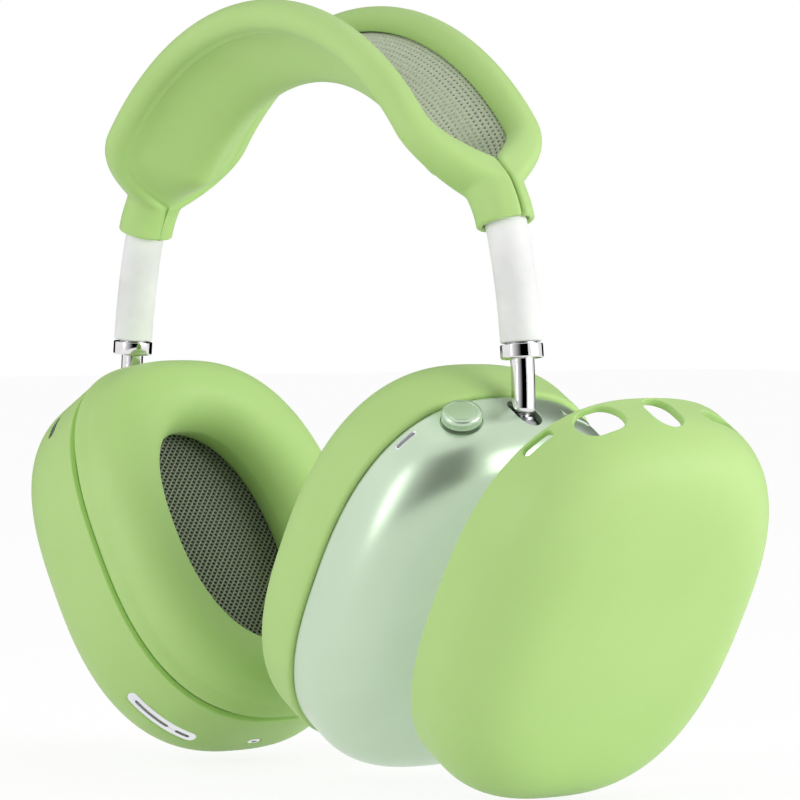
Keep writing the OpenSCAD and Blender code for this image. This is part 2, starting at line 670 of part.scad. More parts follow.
module cushion_foam(side) {
    gap = skin_t + soft_gap;
    rim_f = pad_f * gap / skin_t;
    low = concat([[1 - rim_f - 0.02, plate_front - 2.5]],
        [for (q = foam_angles) pad_section(q, gap)],
        [[rim_f + 0.02, plate_front - 2.5], [rim_f + 0.05, plate_front], [1 - rim_f - 0.05, plate_front]]);
    color("Gainsboro") in_cup(side) loop([for (i = [0 : outline_n - 1])
        [for (p = low) pad_point(i, p[0], p[1])]]);
}

// ---------------------------------------------------------------- silicone cup covers
vent_rim = 217;
vent_t = 7.6;
vent_l = 22;
vent_w = 3.8;
small_rim = 180.5;
small_t = 6.2;
small_l = 4.2;
small_w = 2.2;
upper_rim = -41;
upper_t = 5.2;
upper_l = 9;
upper_w = 2.8;
cover_shift = [cover_off, 0, -cover_drop];
module cover_shell() {
    loft(concat(reversed(skin(soft_gap, 0)), skin(soft_gap + cover_t, 0)));
}
module cover_stem_hole() {
    lip = 0.8;
    stem_slot(slot_near - lip, pivot_in + stem_r + lip, slot_half_w + lip, cup_wall + 4);
    translate([-1, -slit_w / 2, cup_half_h - 3]) cube([slot_near + 2, slit_w, 10]);
}
module left_cup_cover() {
    color("YellowGreen") in_cup(-1) difference() {
        cover_shell();
        cover_stem_hole();
        on_rim(vent_rim, vent_t) pill(vent_l + 0.4, vent_w + 0.4, -5, 6);
        on_rim(small_rim, small_t) pill(small_l + 0.4, small_w + 0.4, -3, 6);
        on_rim(upper_rim, upper_t) pill(upper_l + 0.4, upper_w + 0.4, -3, 6);
    }
}
module right_cup_cover() {
    color("YellowGreen") translate(cover_shift) in_cup(1) difference() {
        cover_shell();
        cover_stem_hole();
        on_rim(crown_rim + 1.5, crown_t - 0.3) pill(13.4, 2 * crown_knob_r + 0.6, -4, 6);
        on_rim(button_rim + 1.5, button_t + 0.6) pill(button_l + 3, button_w + 1.6, -4, 6);
        on_rim(mic_rim + 1, mic_t - 0.2) pill(mic_l + 2.4, mic_w + 1.2, -4, 6);
        on_rim(port_rim, port_t) pill(port_l + 2, port_w + 1.4, -4, 6);
    }
}
// Pieces of the left cup that show through the cover's slots
insert_t = 1.6;
module rim_insert(a, t, length, width, slots) {
    color("Silver") in_cup(-1) difference() {
        intersection() {
            plate_ring(cup_half_w + insert_t, cup_half_h + insert_t, insert_t - seat_gap,
                t - width, t + width);
            on_rim(a, t) pill(length, width, -8, 6);
        }
        on_rim(a, t) for (s = slots) translate([0, s[0], 0]) pill(s[1], s[2], -8, 6);
    }
}
// Slots of each insert, as [place along it, length, width]
vent_slots = [[3, 11.5, 1.1], [-7.2, 4.4, 1.1]];
small_slots = [[0, 2, 0.8]];
upper_slots = [[0, 5.6, 0.9]];
module left_vent_frame() {
    rim_insert(vent_rim, vent_t, vent_l, vent_w, vent_slots);
}
module left_lower_microphone() {
    rim_insert(small_rim, small_t, small_l, small_w, small_slots);
}
module left_upper_microphone() {
    rim_insert(upper_rim, upper_t, upper_l, upper_w, upper_slots);
}

// ---------------------------------------------------------------- right cup's controls
module right_microphone() {
    color("Silver") in_cup(1) on_rim(mic_rim, mic_t) difference() {
        pill(mic_l, mic_w, -1.2, 0);
        pill(mic_l - 1, mic_w - 1, -0.6, 1);
    }
}
module charging_port() {
    color("Silver") in_cup(1) on_rim(port_rim, port_t) difference() {
        pill(port_l, port_w, -6.2, -0.1);
        pill(port_l - 1.6, port_w - 1.6, -5.2, 1);
    }
}
shaft_top = crown_proud - 0.9;
shaft_l = 11;
shaft_flange_t = 0.8;
bush_l = 5;
module crown_knob() {
    edge = 0.8;
    grooves = 36;
    color("Honeydew") in_cup(1) on_rim(crown_rim, crown_t) difference() {
        rotate_extrude($fn = round_fn) polygon([
            [crown_shaft_r + run_gap, 0], [crown_knob_r - 0.4, 0], [crown_knob_r, 0.4],
            [crown_knob_r, crown_proud - edge], [crown_knob_r - edge / 3, crown_proud - edge / 3],
            [crown_knob_r - edge, crown_proud], [0, crown_proud], [0, shaft_top + 0.1],
            [crown_shaft_r + run_gap, shaft_top + 0.1]]);
        for (k = [0 : grooves - 1]) rotate([0, 0, 360 * k / grooves])
            translate([crown_knob_r + 0.1, 0, 0.5])
            cylinder(r = 0.26, h = crown_proud - edge - 0.8, $fn = 12);
    }
}
module crown_shaft() {
    color("Silver") in_cup(1) on_rim(crown_rim, crown_t) {
        translate([0, 0, shaft_top - shaft_l]) cylinder(r = crown_shaft_r, h = shaft_l, $fn = small_fn);
        translate([0, 0, -crown_recess - bush_l - 0.05 - shaft_flange_t])
            cylinder(r = 2.3, h = shaft_flange_t, $fn = small_fn);
    }
}
module crown_bush() {
    color("Goldenrod") in_cup(1) on_rim(crown_rim, crown_t) translate([0, 0, -crown_recess - bush_l])
        difference() {
            cylinder(r = bush_r, h = bush_l, $fn = small_fn);
            translate([0, 0, -1]) cylinder(r = crown_shaft_r + run_gap, h = bush_l + 2, $fn = small_fn);
        }
}
module crown_switch() {
    // Stands on the back of the baffle, under the end of the shaft
    size = 6;
    top = shaft_top - shaft_l - crown_travel - 0.2;
    color("DimGray") in_cup(1) on_rim(crown_rim, crown_t)
        translate([baffle_back - crown_t, -size / 2, top - size / 2])
        cube([crown_t - baffle_back + size / 2, size, size / 2]);
}
button_deep = 5.3;
module mode_button() {
    proud = 0.4;
    tab_top = -3.3;
    tab_t = 0.8;
    color("Honeydew") in_cup(1) on_rim(button_rim, button_t) {
        pill(button_l, button_w, tab_top - tab_t, proud);
        translate([-0.1, -button_l / 2 - 1.2, tab_top - tab_t]) cube([1.7, button_l + 2.4, tab_t]);
        pill(3, 2, -button_deep, tab_top - tab_t);
    }
}
module button_switch() {
    // Stands on the back of the baffle, under the button's foot
    length = 8;
    top = -button_deep - button_travel - 0.2;
    color("DimGray") in_cup(1) on_rim(button_rim, button_t)
        translate([baffle_back - button_t, -length / 2, top - 2.4])
        cube([button_t - baffle_back + 2.6, length, 2.4]);
}

headband_cover();
canopy();
front_rod();
rear_rod();
yoke(-1);  // left_yoke
yoke(1);  // right_yoke
arm_tube(-1);  // left_arm_tube
arm_tube(1);  // right_arm_tube
sleeve(-1);  // left_sleeve
sleeve(1);  // right_sleeve
collar(-1);  // left_collar
collar(1);  // right_collar
stem(-1);  // left_stem
stem(1);  // right_stem
knuckle(-1);  // left_knuckle
knuckle(1);  // right_knuckle
tilt_pin(-1);  // left_tilt_pin
tilt_pin(1);  // right_tilt_pin
hinge_bracket(-1);  // left_hinge_bracket
hinge_bracket(1);  // right_hinge_bracket
cup_housing(-1);  // left_cup_housing
cup_housing(1);  // right_cup_housing
baffle(-1);  // left_baffle
baffle(1);  // right_baffle
baffle_screws(-1);  // left_baffle_screws
baffle_screws(1);  // right_baffle_screws
driver_basket(-1);  // left_driver_basket
driver_basket(1);  // right_driver_basket
driver_magnet(-1);  // left_driver_magnet
driver_magnet(1);  // right_driver_magnet
diaphragm(-1);  // left_diaphragm
diaphragm(1);  // right_diaphragm
circuit_board(-1);  // left_circuit_board
circuit_board(1);  // right_circuit_board
battery();
seam_ring(-1);  // left_seam_ring
seam_ring(1);  // right_seam_ring
speaker_cloth(-1);  // left_speaker_cloth
speaker_cloth(1);  // right_speaker_cloth
cushion_plate(-1);  // left_cushion_plate
cushion_plate(1);  // right_cushion_plate
cushion_foam(-1);  // left_cushion_foam
cushion_foam(1);  // right_cushion_foam
pad_cover(-1);  // left_pad_cover
pad_cover(1);  // right_pad_cover
left_cup_cover();
right_cup_cover();
left_vent_frame();
left_lower_microphone();
left_upper_microphone();
right_microphone();
charging_port();
crown_knob();
crown_shaft();
crown_bush();
crown_switch();
mode_button();
button_switch();
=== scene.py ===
"""Over-ear headphones in a soft silicone cover set: the looks, built round the packed model.

Lengths are metres. +X is the wearer's right, +Y the wearer's front and +Z up. Each piece, or group
of like pieces, has an operator, and main() runs them in order.
"""

import json
import math

import bmesh
import bpy
import numpy as np
from bpy.props import FloatProperty, FloatVectorProperty, PointerProperty
from bpy.types import Operator, Panel, PropertyGroup
from mathutils import Matrix, Vector
from mathutils.bvhtree import BVHTree


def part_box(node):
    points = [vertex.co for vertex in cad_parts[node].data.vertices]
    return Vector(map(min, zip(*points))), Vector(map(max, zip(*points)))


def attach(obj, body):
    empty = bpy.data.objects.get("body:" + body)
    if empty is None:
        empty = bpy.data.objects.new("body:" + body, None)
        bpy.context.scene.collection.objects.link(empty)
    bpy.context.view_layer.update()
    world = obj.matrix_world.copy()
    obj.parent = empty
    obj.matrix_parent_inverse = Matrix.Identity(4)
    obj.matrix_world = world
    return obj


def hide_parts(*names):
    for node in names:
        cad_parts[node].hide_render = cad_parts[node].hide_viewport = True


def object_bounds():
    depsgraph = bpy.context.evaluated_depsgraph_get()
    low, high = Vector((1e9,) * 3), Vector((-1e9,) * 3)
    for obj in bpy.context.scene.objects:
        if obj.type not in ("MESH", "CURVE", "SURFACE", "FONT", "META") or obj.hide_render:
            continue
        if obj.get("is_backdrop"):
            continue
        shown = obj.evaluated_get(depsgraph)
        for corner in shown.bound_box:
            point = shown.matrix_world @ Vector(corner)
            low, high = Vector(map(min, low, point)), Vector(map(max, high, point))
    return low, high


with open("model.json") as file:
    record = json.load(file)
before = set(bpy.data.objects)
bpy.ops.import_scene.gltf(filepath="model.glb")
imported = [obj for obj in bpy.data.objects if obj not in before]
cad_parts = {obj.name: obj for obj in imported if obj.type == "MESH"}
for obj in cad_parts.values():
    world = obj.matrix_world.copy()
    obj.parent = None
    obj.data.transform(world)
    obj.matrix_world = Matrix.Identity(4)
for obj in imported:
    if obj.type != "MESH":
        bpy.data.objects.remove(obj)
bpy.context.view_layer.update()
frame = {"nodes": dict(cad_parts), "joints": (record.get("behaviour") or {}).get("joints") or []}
JOINTS = {j["name"]: j for j in frame["joints"]}

bl_info = {
    "name": "Covered Over-Ear Headphones",
    "version": (1, 0, 0),
    "blender": (4, 5, 0),
    "location": "View3D > Sidebar > Headphones",
    "description": "Builds over-ear headphones in a silicone cover set round their packed model",
    "category": "Add Mesh",
}

MM = 0.001
SIDES = ((1, "right"), (-1, "left"))
CLEAR = 8 * MM  # how far a cutter reaches past the skin that it cuts


def linear(code):
    """Scene-linear red, green and blue of a display colour written as six hex digits."""
    shares = [int(code[i:i + 2], 16) / 255 for i in (0, 2, 4)]
    return tuple(c / 12.92 if c <= 0.04045 else ((c + 0.055) / 1.055) ** 2.4 for c in shares)


def length(name, text, mm, low=0.0, high=400.0):
    return FloatProperty(name=name, description=text, default=mm * MM, min=low * MM, max=high * MM,
                         precision=4, unit="LENGTH")


def angle(name, text, degrees):
    return FloatProperty(name=name, description=text, default=math.radians(degrees), subtype="ANGLE")


def colour(name, text, code):
    return FloatVectorProperty(name=name, description=text, default=linear(code), size=3,
                               min=0.0, max=1.0, subtype="COLOR")


def number(name, text, value, low=0.0, high=1.0):
    return FloatProperty(name=name, description=text, default=value, min=low, max=high)


# ------------------------------------------------------------------ sizes and colours

class ArchSizes(PropertyGroup):
    """Sizes of the headband and its arms"""
    crown_r: length("Crown radius", "Radius of the path over the crown", 81.5)
    shoulder_r: length("Shoulder radius", "Radius of the path round the shoulders", 73.5)
    arm_r: length("Arm radius", "Radius of the curved arms", 165)
    crown_angle: angle("Crown heading", "Heading where the crown's arc ends", 45)
    shoulder_angle: angle("Shoulder heading", "Heading where the shoulder's arc ends", 14.5)
    top: length("Top", "Height of the path over the crown", 13.9)
    lift: length("Lift", "How far the rods rise outside the path over the crown", 2.2)
    tuck: length("Tuck", "How far the rods lie inside the path above the necks", 1.15)
    half_w: length("Half width", "From the middle plane to each rod", 18.7)
    sag: length("Sag", "How far the panel hangs below the rods at the crown", 12)
    rod_r: length("Rod radius", "Radius of a rod with its jacket", 2.65)
    rod_end_r: length("Rod end", "Radius of a rod where it enters its yoke", 2.2)
    fit: length("Fit", "Gap between a soft skin and what it covers", 0.3)
    skin_t: length("Skin", "Wall of the headband's cover", 1.5)
    neck_half_w: length("Neck flat", "Half of the flat between the neck's round sides", 0.6)
    sleeve_r: length("Sleeve radius", "Outside radius of the soft sleeve", 5.3)
    sleeve_top: angle("Sleeve end", "Heading where the sleeve ends inside the neck", 21.5)
    slit_w: length("Slit", "Width of the slit down each neck", 0.7)
    cover_start: angle("Cover end", "Heading where the cover begins", 18)
    flare_start: angle("Flare start", "Heading where the neck starts to flare", 26.1)
    flare_end: angle("Flare end", "Heading where the flare ends", 41.4)
    slit_end: angle("Slit end", "Heading where the slit opens", 29.6)
    opening_l: angle("Opening end", "Turn over which the lips part", 15)
    lip_turn: angle("Lip turn", "How far the lips turn in under the rods", 36)
    crease_out: length("Crease place", "Distance of the crease outside the rods' line", 0.9)
    crease_depth: length("Crease depth", "Depth of the crease round the panel", 0.6)
    crease_end: angle("Crease end", "Heading where the crease closes", 26.2)
    canopy_start: angle("Canopy end", "Heading where the canopy ends", 29.8)
    canopy_t: length("Canopy thickness", "Thickness of the knitted canopy", 1.0)
    mesh_pitch: length("Mesh pitch", "Distance between the canopy's holes along the band", 1.45)
    mesh_rows: length("Mesh rows", "Distance between rows of holes across the band", 1.1)
    mesh_hole: length("Mesh hole", "Width of the canopy's holes", 0.7)


class CupSizes(PropertyGroup):
    """Sizes of the cups and their covers"""
    half_w: length("Half width", "Half of the cup's width, front to back", 41.5)
    half_h: length("Half height", "Half of the cup's height", 52)
    depth: length("Depth", "From the seam to the middle of the outer face", 24)
    edge_r: length("Edge radius", "Radius of the rounded outer edge", 14.5)
    face_r: length("Face radius", "Radius of the outer face inside its rounded edge", 330, 0, 2000)
    exponent: number("Outline", "Exponent of the rounded outline", 2.6, 2.0, 4.0)
    wall: length("Wall", "Wall of the aluminium housing", 2)
    lean: angle("Lean", "Lean of the cup, top outward", 30)
    pivot_down: length("Pin depth", "Depth of the tilt pin below the top of the cup", 5)
    pivot_in: length("Pin distance", "Distance of the tilt pin from the seam", 9.2)
    fit: length("Fit", "Gap between a cover and its cup", 0.3)
    cover_t: length("Cover wall", "Wall of the silicone cover", 2)
    hole_edge: length("Hole edge", "Radius on the edges of the cover's holes", 0.3)
    slot_half_w: length("Slot half width", "Half of the width of the stem's slot", 3.6)
    slot_near: length("Slot start", "Distance of the slot from the seam", 1.6)
    slot_far: length("Slot end", "Distance of the slot's far end from the seam", 12.5)
    hole_near: length("Hole start", "Distance of the covers' stem hole from the seam", 0.6)
    hole_far: length("Hole end", "Distance of the hole's far end from the seam", 12.4)
    hole_half_w: length("Hole half width", "Half of the width of the covers' stem hole", 4.4)
    lip_r: length("Lip radius", "Radius on the edges of a cover's rim", 0.45)
    left_lip: length("Left lip", "How far the fitted cover's lip reaches over its cushion", 6.6)
    crown_r: length("Crown radius", "Radius of the crown", 5)
    crown_proud: length("Crown height", "Height that the crown stands proud", 3)
    crown_depth: length("Crown place", "Distance of the crown from the seam", 6.5)
    crown_rim: angle("Crown heading", "Place of the crown round the rim, from the top", -20.8)
    button_rim: angle("Button heading", "Place of the button round the rim", 19)
    button_depth: length("Button place", "Distance of the button from the seam", 7)
    button_l: length("Button length", "Length of the oblong button", 10)
    button_w: length("Button width", "Width of the oblong button", 3.6)
    mic_rim: angle("Microphone heading", "Place of the microphone's slot round the rim", -41.8)
    mic_depth: length("Microphone place", "Distance of the slot from the seam", 2.4)
    mic_l: length("Microphone length", "Length of the microphone's slot", 6.4)
    mic_w: length("Microphone width", "Width of the microphone's slot", 1.5)
    port_rim: angle("Inlet heading", "Place of the charging inlet round the rim", 180)
    port_depth: length("Inlet place", "Distance of the inlet from the seam", 6.5)
    port_l: length("Inlet length", "Length of the charging inlet", 10.4)
    port_w: length("Inlet width", "Width of the charging inlet", 4.6)
    insert_t: length("Insert height", "Height of the left cup's inserts above the cup", 2.25)


class CushionSizes(PropertyGroup):
    """Sizes of the ear cushions and the cloth inside them"""
    depth: length("Depth", "Thickness of the dressed cushion", 21.5)
    ear_half_w: length("Opening half width", "Half of the width of the ear opening", 21.5)
    ear_half_h: length("Opening half height", "Half of the height of the ear opening", 33)
    proud: length("Overhang", "Overhang past the cup's outline", 1.2)
    seam_gap: length("Seam", "Distance of the cushion's back from the cup's seam", 0.38)
    undercut: length("Undercut", "How far the opening widens behind the cushion's lip", 4.4)
    skin_t: length("Skin", "Wall of the cushion's cover", 1.5)
    fit: length("Fit", "Gap between the cover and the foam", 0.3)
    mouth_half_w: length("Mouth half width", "Half width of the frame in the cushion", 27)
    mouth_half_h: length("Mouth half height", "Half height of the frame in the cushion", 38.5)
    frame_w: length("Frame", "Wall of the frame in the cushion", 2)
    thread_pitch: length("Thread pitch", "Distance between the cloth's threads", 0.92)
    thread_wave: length("Thread wave", "Length of one wave of a thread", 1.95)
    thread_r: length("Thread radius", "Radius of the cloth's threads", 0.24)


class FinishColours(PropertyGroup):
    """Colours of the finishes"""
    silicone: colour("Silicone", "The cover set", "BDE18D")
    silicone_deep: colour("Silicone, deep", "The cover set where it is darker", "B8DD87")
    aluminium: colour("Aluminium", "Pale mint anodised cups", "CBDFC6")
    canopy: colour("Canopy", "Knitted canopy", "E9F0DA")
    # Painted shade: the dark sheet under the canopy stands in for the shade seen through the knit's
    # holes
    canopy_hole_shade: colour("Canopy lining", "What shows through the canopy's holes", "59634F")
    sleeve: colour("Sleeve", "Soft white sleeves", "FCFCFC")
    chrome: colour("Chrome", "Stems and collars", "E6E4E6")
    steel: colour("Steel", "Knuckles, pins and tubes", "A9AAAC")
    thread: colour("Thread", "Loudspeaker cloth", "A4A998")
    backing: colour("Backing", "Behind the loudspeaker cloth", "10110F")
    trim: colour("Trim", "Bright inserts", "ECECF2")
    gauze: colour("Gauze", "Behind the microphones' slots", "A9B0A8")
    dark: colour("Dark plastic", "Baffles and small parts", "2B2D2E")
    foam: colour("Foam", "Cushion foam", "C9CBC6")
    jacket: colour("Rod jacket", "Soft jackets of the rods", "E4E6DE")
    cast: colour("Cast frame", "Frames of the loudspeakers", "B4B6B8")
    magnet: colour("Magnet", "Plated magnets", "8A8C90")
    film: colour("Speaker film", "Diaphragms", "C9C7C0")
    board: colour("Circuit board", "Solder mask of the boards", "2E7D4B")
    battery: colour("Battery wrap", "Wrap of the battery", "6E8196")
    grey: colour("Grey trim", "Rings in the seams", "4A4D4C")
    brass: colour("Brass", "Bush of the crown", "C9A45A")


class StageSizes(PropertyGroup):
    """Camera and lamps"""
    azimuth: angle("Azimuth", "Turn of the camera round the object", 49.75)
    elevation: angle("Elevation", "Height of the camera above the horizon", 1.17)
    distance: length("Distance", "Distance of the camera from its target", 1047.3, 0, 5000)
    target_x: FloatProperty(name="Target X", description="Where the camera looks", default=0.03442,
                            unit="LENGTH")
    target_z: FloatProperty(name="Target Z", description="Where the camera looks", default=-0.083904,
                            unit="LENGTH")
    lens: number("Lens", "Focal length in millimetres", 182.3, 20, 400)
    ambient: number("Ambient", "Strength of the light from all round", 0.54, 0, 2)
    right: number("Right", "Power of the lamp on the right, in watts", 9.5, 0, 100)
    left: number("Left", "Power of the lamp on the left, in watts", 4.2, 0, 100)
    above: number("Above", "Power of the lamp above, in watts", 1.0, 0, 100)
    card_from: angle("Card start", "Turn from the camera where the dark card begins to fade in", -54)
    card_full: angle("Card full", "Turn from the camera where the card is dark", -5)
    card_to: angle("Card end", "Turn from the camera where the card ends", 33)
    back_card: angle("Back cards", "Turn from the camera where the cards behind begin", 128)


def sizes(group):
    return getattr(bpy.context.scene, "headphones_" + group)


# ------------------------------------------------------------------ mesh helpers

def signed_power(c, e):
    return np.sign(c) * np.abs(c) ** e


def evenly(points, n):
    """n points, evenly spaced along a closed line."""
    ring = np.vstack([points, points[:1]])
    run = np.concatenate([[0], np.cumsum(np.linalg.norm(np.diff(ring, axis=0), axis=1))])
    at = np.linspace(0, run[-1], n, endpoint=False)
    return np.stack([np.interp(at, run, ring[:, k]) for k in range(ring.shape[1])], axis=1)


def superellipse(half_w, half_h, exponent, n):
    """Points of a rounded outline, from the front over the top."""
    q = np.linspace(0, 2 * np.pi, 1024, endpoint=False)
    points = np.stack([half_w * signed_power(np.cos(q), 2 / exponent),
                       half_h * signed_power(np.sin(q), 2 / exponent)], axis=1)
    return evenly(points, n)


def pill(long, width, n=96):
    """Outline with round ends as (across, along) points."""
    straight = max(long - width, 1e-6) / 2
    q = np.linspace(0, np.pi, n // 2)
    top = np.stack([width / 2 * np.cos(q), straight + width / 2 * np.sin(q)], axis=1)
    return evenly(np.vstack([top, -top]), n)


def grid_faces(rows, n, wrap=True, close=False):
    """Quads between rows of n points. wrap joins each row's ends, close the last row to the first."""
    k, i = np.meshgrid(np.arange(rows if close else rows - 1), np.arange(n if wrap else n - 1),
                       indexing="ij")
    j, m = (i + 1) % n, (k + 1) % rows
    return np.stack([k * n + i, k * n + j, m * n + j, m * n + i], axis=-1).reshape(-1, 4)


def build_mesh(name, points, faces, sharp=math.radians(38)):
    """A smooth-shaded mesh with doubled points joined and its faces turned outward."""
    mesh = bpy.data.meshes.new(name)
    mesh.from_pydata(np.asarray(points, float).reshape(-1, 3).tolist(), [],
                     [tuple(int(v) for v in f) for f in faces])
    bm = bmesh.new()
    bm.from_mesh(mesh)
    bmesh.ops.remove_doubles(bm, verts=bm.verts, dist=2e-6)
    bmesh.ops.recalc_face_normals(bm, faces=bm.faces)
    bm.to_mesh(mesh)
    bm.free()
    shade(mesh, sharp)
    return mesh


def shade(mesh, sharp):
    mesh.shade_smooth()
    mesh.set_sharp_from_angle(angle=sharp)
    mesh.update()


def add_object(name, mesh):
    obj = bpy.data.objects.new(name, mesh)
    bpy.context.scene.collection.objects.link(obj)
    return obj


def joined(parts):
    """One list of points and one of faces from several, each as (points, faces)."""
    points, faces, start = [], [], 0
    for p, f in parts:
        p = np.asarray(p, float).reshape(-1, 3)
        points.append(p)
        faces.extend((np.asarray(face) + start).tolist() for face in f)
        start += len(p)
    return np.vstack(points), faces


def carve(obj, cutters, sharp=math.radians(38)):
    """Takes the cutters, each as (points, faces), out of the piece one after the other."""
    for points, faces in cutters:
        cutter = add_object("cutter", build_mesh("cutter", points, faces))
        cut = obj.modifiers.new("Cut", "BOOLEAN")
        cut.operation, cut.solver, cut.object = "DIFFERENCE", "EXACT", cutter
        bpy.context.view_layer.update()
        result = bpy.data.meshes.new_from_object(
            obj.evaluated_get(bpy.context.evaluated_depsgraph_get()))
        obj.modifiers.clear()
        old, obj.data = obj.data, result
        bpy.data.meshes.remove(old)
        bpy.data.meshes.remove(cutter.data)
    shade(obj.data, sharp)
    return obj


def carved(name, solid, cutters, liners=()):
    """Points and faces of a solid with the cutters taken out and its holes' walls put in."""
    obj = carve(add_object(name, build_mesh(name, *solid)), cutters)
    points = np.array([v.co for v in obj.data.vertices])
    faces = [list(p.vertices) for p in obj.data.polygons]
    bpy.data.objects.remove(obj)
    return joined([(points, faces)] + list(liners))


def turned(rings, close=False):
    """Rings of equal length as one list of points and one of faces."""
    return np.vstack(rings), grid_faces(len(rings), len(rings[0]), close=close)


def prism(outline, place, low, high):
    """A cutter: the outline as a solid between two heights in a local frame."""
    n = len(outline)
    rings = [np.column_stack([outline, np.full(n, z)]) for z in (low, high)]
    points = np.vstack(rings) @ place[:3, :3].T + place[:3, 3]
    faces = list(grid_faces(2, n)) + [list(range(n)), list(range(n, 2 * n))]
    return points, faces


# ------------------------------------------------------------------ the arch

